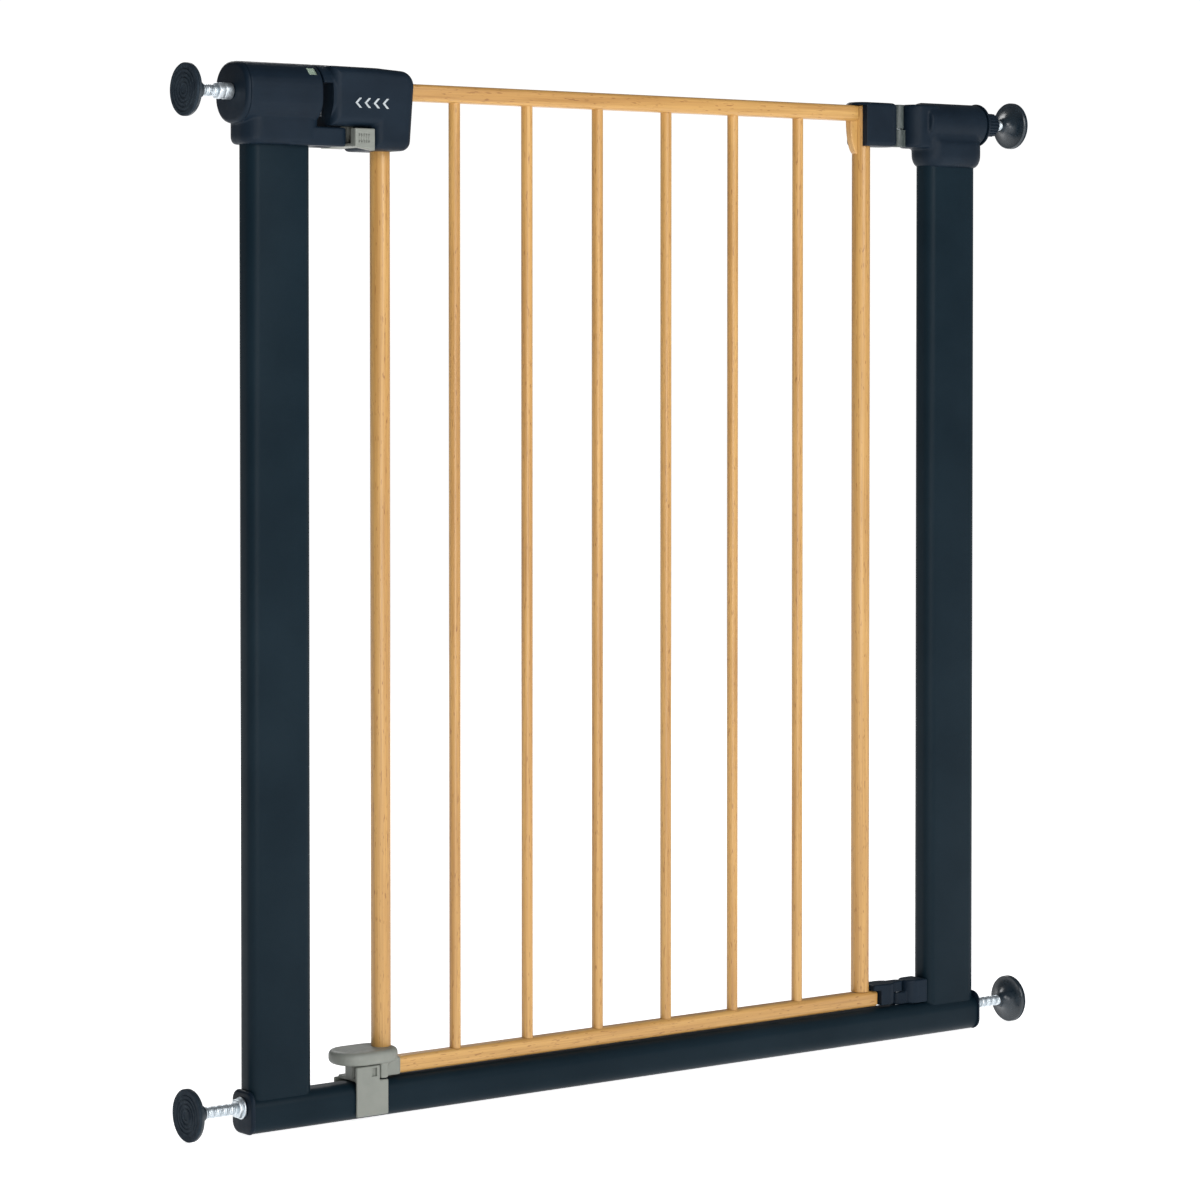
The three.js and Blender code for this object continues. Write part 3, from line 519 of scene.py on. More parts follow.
def carve(piece, *cutters):
    """Cuts closed shapes out of a piece and marks the new sharp edges."""
    for bm in cutters:
        tool = to_object("cutter", bm, piece.data.materials[0])
        cut = piece.modifiers.new("cut", "BOOLEAN")
        cut.operation, cut.solver, cut.object = "DIFFERENCE", "EXACT", tool
        plain_mesh(piece)
        bpy.data.objects.remove(tool)
    return smooth_by_angle(piece)


def block(x0, x1, y0, y1, z0, z1, corner=0.6, edge=0.6):
    """A box with rounded edges, given by its limits."""
    outline = rect_outline(x1 - x0, y1 - y0, corner, (x0 + x1) / 2, (y0 + y1) / 2)
    return rounded_prism("Z", outline, z0, z1, edge, edge)


BOLT_PLAY = 0.6


def bolt_socket(bolt, x0, x1):
    """The room for a bolt between two places along X, a little wider than the bolt."""
    y0, y1 = bolt.y0 - BOLT_PLAY, bolt.y1 + BOLT_PLAY
    return block(x0, x1, y0, y1, bolt.z0 - BOLT_PLAY, bolt.z1 + BOLT_PLAY)


# %% [markdown]
# ## The U-frame
# The crossbar and the uprights are rounded rectangular tube. The uprights are coped to sit over
# the crossbar's round shoulders, so here they reach down into it.

# %% Crossbar and uprights
bar = gate["crossbar"]
COPE = 8.0
BAR_CORNER = 9.0
POST_CORNER = 7.5
outline = rect_outline(bar.d, bar.h, BAR_CORNER, 0.0, bar.zm)
make_piece("crossbar_tube", rounded_prism("X", outline, bar.x0, bar.x1), slate, "crossbar")
for side in ("left", "right"):
    post = gate[f"{side}_upright"]
    outline = rect_outline(post.w, post.d, POST_CORNER, post.xm, 0.0)
    shape = rounded_prism("Z", outline, post.z0 - COPE, post.z1)
    make_piece(f"{side}_upright_tube", shape, slate, f"{side}_upright")

# %% [markdown]
# The moulded plugs at the crossbar's ends stand a little proud of the tube at its sides and top.

# %% End plugs
for side, sign in (("left", -1), ("right", 1)):
    plug = gate[f"{side}_end_plug"]
    outer = plug.x0 if sign < 0 else plug.x1
    inner = bar.x0 if sign < 0 else bar.x1
    outline = rect_outline(plug.d, plug.h, 8.0, 0.0, plug.zm)
    edges = (2.2, 0.3) if sign < 0 else (0.3, 2.2)
    shape = rounded_prism("X", outline, *sorted((outer, inner)), *edges)
    make_piece(f"{side}_plug", shape, charcoal, f"{side}_end_plug")

# %% [markdown]
# ## Latch housing
# A barrel with a soft square section, a collar that grips the upright and a ledge that reaches
# under the handle. The spindle goes in at its outer end, and the bolt in at its inner end.

# %% Latch housing body
house, cap = gate["latch_housing"], gate["latch_housing_cap"]
post = gate["left_upright"]
BARREL = cap.h
BARREL_CORNER = 18.0
barrel_z = top - BARREL / 2
LEDGE_REACH, LEDGE_HEIGHT, COLLAR_HEIGHT = 24.0, 13.0, 18.0
barrel_end = house.x1 - LEDGE_REACH
collar_low, collar_high = house.z0, house.z0 + COLLAR_HEIGHT
ledge_top = collar_low + LEDGE_HEIGHT
barrel_outline = rect_outline(BARREL, BARREL, BARREL_CORNER, 0.0, barrel_z)
latch_housing = moulded(
    "latch_housing_moulding",
    [
        rounded_prism("X", barrel_outline, cap.x0 + 3.3, barrel_end, 0.3, 1.2),
        rounded_prism(
            "Z", rect_outline(post.w + 11, post.d + 11, 12.0, post.xm), collar_low,
            collar_high + 1, 3.5, 1.0, 6, 1.5,
        ),
        block(post.xm, house.x1, -15, 15, collar_low, ledge_top, 5.0, 1.5),
    ],
    charcoal,
)
bolt, slide = gate["latch_bolt"], gate["thumb_slide"]
carve(
    latch_housing,
    bolt_socket(bolt, barrel_end - 10, barrel_end + 2),
    block(barrel_end + 5, house.x1 + 2, -6, 6, collar_low - 2, ledge_top + 1, 1.0, 0.1),
)
window = gate["indicator_window"]
shoulder = Matrix.Translation(Vector((0, -(BARREL / 2 - BARREL_CORNER), top - BARREL_CORNER)) * MM)
shoulder = shoulder @ Matrix.Rotation(math.radians(45), 4, "X")


def on_shoulder(bm):
    """Moves a shape made upright at the origin onto the barrel's front shoulder."""
    bm.transform(shoulder)
    return bm


WINDOW_SEAT = BARREL_CORNER - 2.8
window_hole = block(window.x0 - 0.3, window.x1 + 0.3, -3.6, 3.6, WINDOW_SEAT, 21, 0.8, 0.1)
carve(latch_housing, on_shoulder(window_hole))
finish_piece(latch_housing, "latch_housing")

# %% [markdown]
# The barrel's outer end is a separate cap. A clear lens is let into the shoulder just under its
# surface, with a green flag below it that shows how hard the gate is pressed.

# %% Latch housing cap, window and flag
BARREL_ROUND = 3.0
shape = rounded_prism("X", barrel_outline, cap.x0, cap.x0 + 3.0, BARREL_ROUND, 0.1, 6)
make_piece("latch_housing_end", shape, charcoal, "latch_housing_cap")
lens = on_shoulder(
    block(window.x0, window.x1, -3.3, 3.3, WINDOW_SEAT + 0.7, BARREL_CORNER - 0.5, 0.7, 0.4)
)
make_piece("indicator_lens", lens, clear, "indicator_window")
flag = gate["indicator_flag"]
marker = on_shoulder(
    block(flag.x0, flag.x1, -3.5, 3.5, BARREL_CORNER - 6, WINDOW_SEAT - 0.4, 0.6, 0.4)
)
make_piece("indicator_marker", marker, green, "indicator_flag")

# %% [markdown]
# ## Hinge housing
# The same family of forms on the other upright: a round barrel for the spindle, a collar that
# flares down onto the upright, and an arm that carries the hinge knuckle.

# %% Hinge housing body
hinge, ring = gate["hinge_housing"], gate["hinge_housing_cap"]
right_post = gate["right_upright"]
pin = gate["upper_hinge_pin"]
spindle_z = gate["top_right_spindle"].zm
hinge_z = spindle_z - 1
upper = gate["upper_hinge_block"]
ARM_HALF = 12.0
KNUCKLE, HINGE_REACH = 4.6, 17.3
BARREL_RADIUS, BARREL_END_RADIUS = 16.0, 16.8
COLLAR_WIDTH, COLLAR_DEPTH, NECK_WIDTH, NECK_DEPTH = 58.8, 31.0, 57.0, 28.0
arm_centre = hinge.x0 + KNUCKLE + HINGE_REACH


def round_end_bar(end_x, flat_x, half, z0, z1, edge=1.0):
    """A bar seen from above with a half-round end centred on end_x and a square end."""
    sign = 1 if end_x > flat_x else -1

    def outline(inset):
        radius = half - inset
        points = [(flat_x + sign * inset, -sign * radius)]
        for i in range(25):
            turn = math.pi * (i / 24 - 0.5)
            points.append((end_x + sign * radius * math.cos(turn), sign * radius * math.sin(turn)))
        points.append((flat_x + sign * inset, sign * radius))
        return points

    return rounded_prism("Z", outline, z0, z1, edge, edge)


hinge_housing = moulded(
    "hinge_housing_moulding",
    [
        rounded_prism(
            "X", round_outline(BARREL_RADIUS, 0, hinge_z), right_post.x0 - 3, ring.x1 - 3.3, 2.0,
            0.2,
        ),
        rounded_prism(
            "Z", rect_outline(COLLAR_WIDTH, COLLAR_DEPTH, 13.0, right_post.xm + 1.0), hinge.z0,
            collar_high + 4, 6.5, 3.0, 8, 1.5,
        ),
        rounded_prism(
            "Z", rect_outline(NECK_WIDTH, NECK_DEPTH, 9.0, right_post.xm), collar_high - 2,
            hinge_z, 0.5, 6.0, 6,
        ),
        round_end_bar(arm_centre, right_post.x0 + 8, ARM_HALF, upper.z0, upper.z1, 2.0),
    ],
    charcoal,
    voxel=0.7,
    passes=22,
)
finish_piece(hinge_housing, "hinge_housing")
outline = round_outline(BARREL_END_RADIUS, 0, hinge_z)
shape = rounded_prism("X", outline, ring.x1 - 3.0, ring.x1, 0.6, 2.6, 6)
make_piece("hinge_housing_end", shape, charcoal, "hinge_housing_cap")

# %% [markdown]
# ## Door frame
# The stiles are round tube, the rails square tube with soft corners, and the six bars run
# between the rails. The rails' ends are closed and eased.

# %% Stiles and rails
for side in ("left", "right"):
    stile = gate[f"{side}_stile"]
    shape = rounded_prism("Z", round_outline(stile.w / 2, stile.xm), stile.z0, stile.z1, 0.4, 1.2)
    make_piece(f"{side}_stile_tube", shape, beech_up, f"{side}_stile")
for name in ("top_rail", "bottom_rail"):
    rail = gate[name]
    outline = rect_outline(rail.d, rail.h, 3.0, 0.0, rail.zm)
    shape = rounded_prism("X", outline, rail.x0, rail.x1, 1.0, 1.2)
    make_piece(f"{name}_tube", shape, beech_across, name)

# %% [markdown]
# The bars are all alike and evenly spaced, which is what Geometry Nodes are for: a line of
# points and one bar on each point. A bar is a tube with a small weld collar at each end, where
# it meets its rail; the collar is a short cone that swells towards the rail.

# %% Helpers for node trees
def node_tree(name, inputs):
    """A geometry node tree with named inputs; returns the tree and their sockets."""
    tree = bpy.data.node_groups.new(name, "GeometryNodeTree")
    for label, kind, value in inputs:
        socket = tree.interface.new_socket(label, in_out="INPUT", socket_type=kind)
        socket.default_value = value
    tree.interface.new_socket("Geometry", in_out="OUTPUT", socket_type="NodeSocketGeometry")
    given = tree.nodes.new("NodeGroupInput")
    return tree, given.outputs


def add_node(tree, kind, **values):
    """A geometry node, with some of its inputs set."""
    node = tree.nodes.new("GeometryNode" + kind)
    for label, value in values.items():
        node.inputs[label].default_value = value
    return node


def wire(tree, *pairs):
    """Links each pair of an output and an input."""
    for source, target in pairs:
        tree.links.new(source, target)


def end_tree(tree, geometry, material):
    """Realizes the instances, sets the material and closes the tree."""
    real = add_node(tree, "RealizeInstances")
    coat = add_node(tree, "SetMaterial", Material=material)
    out = tree.nodes.new("NodeGroupOutput")
    wire(
        tree,
        (geometry, real.inputs["Geometry"]),
        (real.outputs["Geometry"], coat.inputs["Geometry"]),
        (coat.outputs["Geometry"], out.inputs["Geometry"]),
    )


def grow(name, tree, material, **values):
    """Runs a tree on an empty object, with its inputs set by name, and keeps the mesh."""
    mesh = bpy.data.meshes.new(name)
    mesh.materials.append(material)
    piece = add_object(name, mesh)
    modifier = piece.modifiers.new("grow", "NODES")
    modifier.node_group = tree
    for socket in tree.interface.items_tree:
        label = socket.name.replace(" ", "_").lower()
        if socket.in_out == "INPUT" and label in values:
            modifier[socket.identifier] = values[label]
    return smooth_by_angle(plain_mesh(piece))


# %% Grow the bars
FLOAT, INT, VECTOR = "NodeSocketFloat", "NodeSocketInt", "NodeSocketVector"
tree, given = node_tree(
    "bars_in_a_row",
    [("Count", INT, 6), ("First", VECTOR, (0, 0, 0)), ("Pitch", VECTOR, (0.06, 0, 0)),
     ("Radius", FLOAT, 0.004), ("Length", FLOAT, 0.6), ("Collar", FLOAT, 0.0008)],
)


def maths(tree, operation, first, second):
    """A maths node on two sockets or numbers."""
    node = tree.nodes.new("ShaderNodeMath")
    node.operation = operation
    for socket, value in zip(node.inputs, (first, second)):
        if isinstance(value, float):
            socket.default_value = value
        else:
            tree.links.new(value, socket)
    return node.outputs["Value"]


line = add_node(tree, "MeshLine")
rod = add_node(tree, "MeshCylinder", Vertices=48)
collar = add_node(tree, "MeshCone", Vertices=48, Depth=1.6 * MM)
drop = tree.nodes.new("ShaderNodeCombineXYZ")
foot_weld = add_node(tree, "Transform")
head_weld = add_node(tree, "Transform", Rotation=(math.pi, 0, 0))
one_bar = add_node(tree, "JoinGeometry")
spread_out = add_node(tree, "InstanceOnPoints")
swollen = maths(tree, "ADD", given["Radius"], given["Collar"])
wire(
    tree,
    (given["Count"], line.inputs["Count"]),
    (given["First"], line.inputs["Start Location"]),
    (given["Pitch"], line.inputs["Offset"]),
    (given["Radius"], rod.inputs["Radius"]),
    (given["Length"], rod.inputs["Depth"]),
    (swollen, collar.inputs["Radius Bottom"]),
    (given["Radius"], collar.inputs["Radius Top"]),
    (maths(tree, "MULTIPLY", given["Length"], -0.5), drop.inputs["Z"]),
    (collar.outputs["Mesh"], foot_weld.inputs["Geometry"]),
    (drop.outputs["Vector"], foot_weld.inputs["Translation"]),
    (foot_weld.outputs["Geometry"], head_weld.inputs["Geometry"]),
    (rod.outputs["Mesh"], one_bar.inputs["Geometry"]),
    (foot_weld.outputs["Geometry"], one_bar.inputs["Geometry"]),
    (head_weld.outputs["Geometry"], one_bar.inputs["Geometry"]),
    (line.outputs["Mesh"], spread_out.inputs["Points"]),
    (one_bar.outputs["Geometry"], spread_out.inputs["Instance"]),
)
end_tree(tree, spread_out.outputs["Instances"], beech_up)
bar_tree = tree

bars = [f"bar_{i + 1}" for i in range(sum(name.startswith("bar_") for name in gate))]
first, second = gate[bars[0]], gate[bars[1]]
row = grow(
    "door_bars", tree, beech_up, count=len(bars), first=Vector((first.xm, 0, first.zm)) * MM,
    pitch=Vector((second.xm - first.xm, 0, 0)) * MM, radius=first.w / 2 * MM, length=first.h * MM,
)
finish_piece(row, *bars)

# %% [markdown]
# A small web fills the corner between the top rail and the hinge stile. It would be stamped from
# sheet and welded in, so it is thin, with a quarter-round inner edge that runs out into both
# tubes.

# %% Corner gusset
gusset = gate["corner_gusset"]


def gusset_outline(inset):
    """A quarter-round web between the top rail and the hinge stile."""
    right, high = gusset.x1 + 1.5, gusset.z1 + 1.0
    points = [(right, high), (gusset.x0 + inset, high)]
    for i in range(1, 13):
        turn = math.pi / 2 * i / 12
        u = gusset.x0 + inset + (gusset.w + 1.5) * (1 - math.cos(turn))
        points.append((u, high - (gusset.h - inset) * math.sin(turn)))
    return points


shape = rounded_prism("Y", gusset_outline, gusset.y0, gusset.y1, 0.8, 0.8)
make_piece("corner_web", shape, beech_up, "corner_gusset")

# %% [markdown]
# ## Handle
# Two moulded shells meet on the gate's mid-plane. The outline steps down behind a nose that
# holds the bolt, the top falls a little to the right, and the faces are rounded over generously
# because a hand closes round them.

# %% Handle outline
front, rear = gate["handle_front"], gate["handle_rear"]
SLOT_WIDTH = 8.0
LIP_HEIGHT = 12.0
BODY_FROM_NOSE = 34.0
nose_x = barrel_end + SLOT_WIDTH
nose_low = ledge_top + 1.2
body_left = nose_x + BODY_FROM_NOSE
LEAN, FALL = 3.0, 1.4


def arc(cu, cv, radius, start, end, steps=8):
    """Points along an arc, angles in degrees."""
    turns = [math.radians(start + (end - start) * i / steps) for i in range(steps + 1)]
    return [(cu + radius * math.cos(t), cv + radius * math.sin(t)) for t in turns]


def handle_outline(inset):
    """The handle from the front, drawn in by an inset."""
    x0, x1, x2 = nose_x + inset, body_left + inset, front.x1 - inset
    high, nose, low = front.z1 - inset, nose_low + inset, front.z0 + inset
    near = max(10.5 - inset, 0.5)
    far = max(7.0 - inset, 0.5)
    small = max(3.0 - inset, 0.4)
    points = [(x1, nose)]
    points += arc(x1 + small, low + small, small, 180, 270)
    points += arc(x2 - LEAN - far, low + far, far, 270, 360)
    points += arc(x2 - near, high - FALL - near, near, 0, 90)
    points += [(x2 - near - 10, high - 0.62 * FALL), (x2 - near - 20, high - 0.18 * FALL)]
    points += [(x0, high), (x0, nose)]
    return points


# %% Handle shells
# The lip carries the barrel's section over the top of the slot.
SOFT_EDGE = 6.5
SEAM = 0.15
whole_handle = moulded(
    "handle_whole",
    [
        rounded_prism("Y", handle_outline, front.y0, rear.y1, SOFT_EDGE, SOFT_EDGE, 8),
        rounded_prism("X", barrel_outline, front.x0, nose_x + 12, 0.8, 6.0),
    ],
    charcoal,
    0.6,
    4,
)
lip_low = front.z1 - LIP_HEIGHT
carve(
    whole_handle,
    block(front.x0 - 5, nose_x, -30, 30, bar.z0, lip_low, 0.5, 0.1),
    block(front.x0 - 5, body_left - 1.5, -30, 30, bar.z0, nose_low, 0.5, 0.1),
    bolt_socket(bolt, nose_x - 2, bolt.x1 + BOLT_PLAY),
    block(nose_x + 2.5, body_left - 5, -5.1, 5.1, nose_low - 2, bolt.z0 + 1),
)
for name, side in (("handle_front", -1), ("handle_rear", 1)):
    shell = add_object(f"{name}_shell", whole_handle.data.copy())
    far_side = sorted((side * SEAM, -side * 40))
    carve(shell, block(front.x0 - 9, front.x1 + 9, *far_side, front.z0 - 9, front.z1 + 9))
    finish_piece(shell, name)
bpy.data.objects.remove(whole_handle)

# %% [markdown]
# Four pale chevrons are printed on the handle's front, pointing the way the thumb slide moves.
# They are thin raised shapes, so they keep their edges in any light.

# %% Chevrons
chevrons = []
CHEVRON_HALF, CHEVRON_STROKE, CHEVRON_PITCH, PRINT_RISE = 3.4, 1.9, 7.5, 0.2
for i in range(4):
    tip = nose_x + 17.0 + CHEVRON_PITCH * i
    mid = front.z1 - 25.0
    back = tip + CHEVRON_HALF
    shape = [
        (tip, mid),
        (back, mid + CHEVRON_HALF),
        (back + CHEVRON_STROKE, mid + CHEVRON_HALF),
        (tip + CHEVRON_STROKE, mid),
        (back + CHEVRON_STROKE, mid - CHEVRON_HALF),
        (back, mid - CHEVRON_HALF),
    ]
    outline = lambda inset, shape=shape: shape
    chevrons.append(rounded_prism("Y", outline, front.y0 - PRINT_RISE, front.y0 + 1, 0, 0))
marks = to_object("handle_chevrons", join_shapes(*chevrons), pale_print)
ride_along(marks, "handle_front")

# %% Grey thumb slide
CHEEK = 6.3  # width of each cheek


def cheek_outline(drop):
    """A cheek of the thumb slide from the front; its underside falls by drop to the right."""

    def outline(inset):
        x0, x1 = slide.x0 + inset, slide.x1 - inset
        low, high = collar_low + inset, nose_low - 1.5 - inset
        return [(x0, low), (x1, low - drop), (x1, high), (x0, high)]

    return outline


cheek_drop = collar_low - slide.z0


thumb = moulded(
    "thumb_slide_moulding",
    [
        rounded_prism("Y", cheek_outline(cheek_drop), slide.y0, slide.y0 + CHEEK, 1.0, 0.6),
        rounded_prism("Y", cheek_outline(0.0), slide.y1 - CHEEK, slide.y1, 0.6, 1.0),
        block(
            slide.x0 + 1, slide.x1, slide.y0 + 3, slide.y1 - 3, collar_low + 0.2, collar_low + 2.8
        ),
        block(slide.x0 + 5, slide.x0 + 10, -4.5, 4.5, collar_low + 0.4, slide.z1, 0.5, 0.4),
    ],
    grey,
    0.4,
    2,
)
finish_piece(thumb, "thumb_slide")

# %% [markdown]
# Ribs on the slide's face give the thumb its grip. They are the same idea as the bars, a short
# row of rods, so they grow from the same tree and are half sunk in the face.

# %% Grip ribs on the thumb slide
RIBS = 5
ribs = grow(
    "thumb_slide_ribs", bar_tree, grey, count=RIBS,
    first=Vector((slide.xm - RIBS, slide.y0 + 0.15, (nose_low + slide.z0) / 2)) * MM,
    pitch=Vector((2.0, 0, 0)) * MM, radius=0.5 * MM, length=6.0 * MM, collar=0.0,
)
ribs.data.materials.clear()
ribs.data.materials.append(grey)
ride_along(ribs, "thumb_slide")

# %% [markdown]
# ## Hinges
# The upper block wraps the stile and ends in a half-round next to the axis; the lower pair sits
# just above the crossbar. Each pair's knuckles share the pin.

# %% Upper hinge block
right_stile = gate["right_stile"]
axis_x = pin.xm
door_end = axis_x - HINGE_REACH
upper_block = moulded(
    "upper_hinge_block_moulding",
    [
        round_end_bar(door_end, right_stile.xm - 4, ARM_HALF, upper.z0, upper.z1, 3.2),
        rounded_prism("Z", round_outline(ARM_HALF, right_stile.xm), upper.z0, upper.z1, 3.2, 3.2),
    ],
    charcoal,
    passes=6,
)
STILE_PLAY, RAIL_HALF, STILE_BORE = 0.3, 6.6, 7.2
below, above = upper.z0 - 2, right_stile.z1 + STILE_PLAY
carve(
    upper_block,
    block(right_stile.xm - 20, right_stile.xm - 4, -20, 20, below, above, 0.3, 0.1),
    block(right_stile.xm - 8, right_stile.xm, -RAIL_HALF, RAIL_HALF, below, above, 0.3, 0.1),
    rounded_prism("Z", round_outline(STILE_BORE, right_stile.xm), below, above, 0, 0),
)
finish_piece(upper_block, "upper_hinge_block")

# %% Knuckles of the upper hinge
NECK_HALF = 2.5


def knuckle(name, low, high, towards, node):
    """A round knuckle on the hinge axis with a short neck to its block."""
    near, far = sorted((axis_x, towards))
    shapes = [
        rounded_prism("Z", round_outline(KNUCKLE, axis_x), low, high, 0.6, 0.6),
        block(near, far, -NECK_HALF, NECK_HALF, low + 0.4, high - 0.4, 0.3, 0.2),
    ]
    ride_along(to_object(name, join_shapes(*shapes), knuckle_grey_and_highlight), node)


LOWER_SHARE = 14
split = upper.z0 + LOWER_SHARE
knuckle("upper_fixed_knuckle", upper.z0 + 0.5, split, arm_centre - 11, "hinge_housing")
knuckle("upper_door_knuckle", split + 0.5, upper.z1 - 0.5, door_end + 11, "upper_hinge_block")

# %% [markdown]
# The lower hinge is smaller: one half is screwed down to the crossbar, the other caps the end of
# the bottom rail, and the door's knuckle sits half a millimetre above the fixed one.

# %% Lower hinge
bracket, shoe_end = gate["lower_hinge_bracket"], gate["lower_hinge_block"]
LOWER_HALF = 9.0
lower_offset = LOWER_HALF * math.sqrt(2) + 1.5
lower_split = bracket.z0 + 9.4
shape = moulded(
    "lower_bracket_moulding",
    [
        round_end_bar(axis_x + lower_offset, bracket.x1, LOWER_HALF, bracket.z0, bracket.z1),
        rounded_prism("Z", round_outline(KNUCKLE, axis_x), bracket.z0, lower_split, 0.5, 0.5),
        block(axis_x, axis_x + lower_offset, -KNUCKLE, KNUCKLE, bracket.z0, lower_split),
    ],
    charcoal,
    0.5,
    2,
)
finish_piece(shape, "lower_hinge_bracket")
rail = gate["bottom_rail"]
shape = moulded(
    "lower_block_moulding",
    [
        round_end_bar(axis_x - lower_offset, rail.x1 + 1, LOWER_HALF, shoe_end.z0, shoe_end.z1),
        block(shoe_end.x0, rail.x1 + 3, -LOWER_HALF, LOWER_HALF, rail.z1 + 0.3, shoe_end.z1, 2.0),
        rounded_prism(
            "Z", round_outline(KNUCKLE, axis_x), lower_split + 0.5, shoe_end.z1, 0.5, 0.5
        ),
        block(axis_x - lower_offset, axis_x, -KNUCKLE, KNUCKLE, lower_split + 0.5, shoe_end.z1),
    ],
    charcoal,
    0.5,
    2,
)
finish_piece(shape, "lower_hinge_block")

# %% [markdown]
# ## Foot catch
# A grey shoe clips round the foot of the latch stile, with an oval toe that reaches over the
# catch. The catch itself is a saddle: a strap over the crossbar, a plate standing at the front
# and a slim block behind it that guides the bolt.

# %% Catch saddle
saddle = gate["catch_saddle"]
BLOCK_WIDTH = 19.5
STRAP = 2.2
PLATE = 3.2
GUIDE_HALF = 5.6
block_x1 = saddle.x0 + BLOCK_WIDTH
seat = bar.z1 + 0.3
saddle_shape = moulded(
    "catch_saddle_moulding",
    [
        block(saddle.x0, block_x1, saddle.y0, saddle.y0 + PLATE, seat, saddle.z1, 1.2, 1.0),
        block(saddle.x0 + 3, block_x1, -GUIDE_HALF, GUIDE_HALF, seat, saddle.z1, 1.5, 1.2),
        block(saddle.x0 + 3, block_x1, saddle.y0 + 1, saddle.y1 - 1, seat, seat + 2.6, 1.5, 0.8),
        block(saddle.x0, saddle.x1, saddle.y0, saddle.y0 + STRAP, saddle.z0, seat + 1, 1.0, 0.8),
        block(saddle.x0, saddle.x1, saddle.y1 - STRAP, saddle.y1, saddle.z0, seat + 1, 1.0, 0.8),
    ],
    grey,
    0.4,
    2,
)
stub = gate["catch_bolt"]
carve(
    saddle_shape,
    block(
        block_x1 - 7, block_x1 - 3, saddle.y0 - 2, saddle.y0 + 2,
        seat + 4, saddle.z1 - 1.5, 1.2, 0.1,
    ),
    bolt_socket(stub, stub.x0 - 4, block_x1 + 1),
)
finish_piece(saddle_shape, "catch_saddle")

# %% [markdown]
# The shoe is one moulding: a clip on the stile, a foot that faces the catch, and the oval toe
# over both. The toe's edge is well rounded, because feet and toys meet it.

# %% Door shoe
shoe = gate["door_shoe"]
left_stile = gate["left_stile"]
shoe_low = saddle.z1 + 0.6
toe_x1 = left_stile.xm + 10
toe_outline = rect_outline(toe_x1 - shoe.x0, shoe.d, 17.0, (shoe.x0 + toe_x1) / 2)
shoe_shape = moulded(
    "door_shoe_moulding",
    [
        block(block_x1 + 0.7, saddle.x1, -15, 15, shoe.z0, shoe_low + 3, 1.5, 1.2),
        block(saddle.x1 - 2, shoe.x1, -10, 10, shoe.z0, shoe_low + 2, 3.0, 1.5),
        rounded_prism("Z", toe_outline, shoe_low, shoe.z1, 3.5, 3.5, 6),
    ],
    grey,
    0.5,
    3,
)
carve(shoe_shape, bolt_socket(stub, block_x1, block_x1 + 6.2))
finish_piece(shoe_shape, "door_shoe")

# %% [markdown]
# ## Wall pads, spindles and nuts
# A pad is a trumpet: a disc that flares out of a slim neck, with a rubber face. The spindle is
# threaded rod, and the thread is a real spiral: a small triangular ridge swept round the core by
# Geometry Nodes.

# %% Thread tree
tree, given = node_tree(
    "threaded_rod",
    [("Turns", FLOAT, 20.0), ("Length", FLOAT, 0.05), ("Core", FLOAT, 0.0034),
     ("Ridge", FLOAT, 0.0006), ("Start", VECTOR, (0, 0, 0))],
)
spiral = add_node(tree, "CurveSpiral", Resolution=32)
ridge = add_node(tree, "CurvePrimitiveCircle", Resolution=4)
sweep = add_node(tree, "CurveToMesh")
core = add_node(tree, "MeshCylinder", Vertices=48)
lift = tree.nodes.new("ShaderNodeCombineXYZ")
raise_core = add_node(tree, "Transform")
both = add_node(tree, "JoinGeometry")
lay_down = add_node(tree, "Transform", Rotation=(0, math.pi / 2, 0))
wire(
    tree,
    (given["Turns"], spiral.inputs["Rotations"]),
    (given["Core"], spiral.inputs["Start Radius"]),
    (given["Core"], spiral.inputs["End Radius"]),
    (given["Length"], spiral.inputs["Height"]),
    (given["Ridge"], ridge.inputs["Radius"]),
    (spiral.outputs["Curve"], sweep.inputs["Curve"]),
    (ridge.outputs["Curve"], sweep.inputs["Profile Curve"]),
    (given["Core"], core.inputs["Radius"]),
    (given["Length"], core.inputs["Depth"]),
    (maths(tree, "MULTIPLY", given["Length"], 0.5), lift.inputs["Z"]),
    (core.outputs["Mesh"], raise_core.inputs["Geometry"]),
    (lift.outputs["Vector"], raise_core.inputs["Translation"]),
    (sweep.outputs["Mesh"], both.inputs["Geometry"]),
    (raise_core.outputs["Geometry"], both.inputs["Geometry"]),
    (both.outputs["Geometry"], lay_down.inputs["Geometry"]),
    (given["Start"], lay_down.inputs["Translation"]),
)
end_tree(tree, lay_down.outputs["Geometry"], zinc)
thread_tree = tree
THREAD_PITCH = 1.25
RIDGE = 0.45

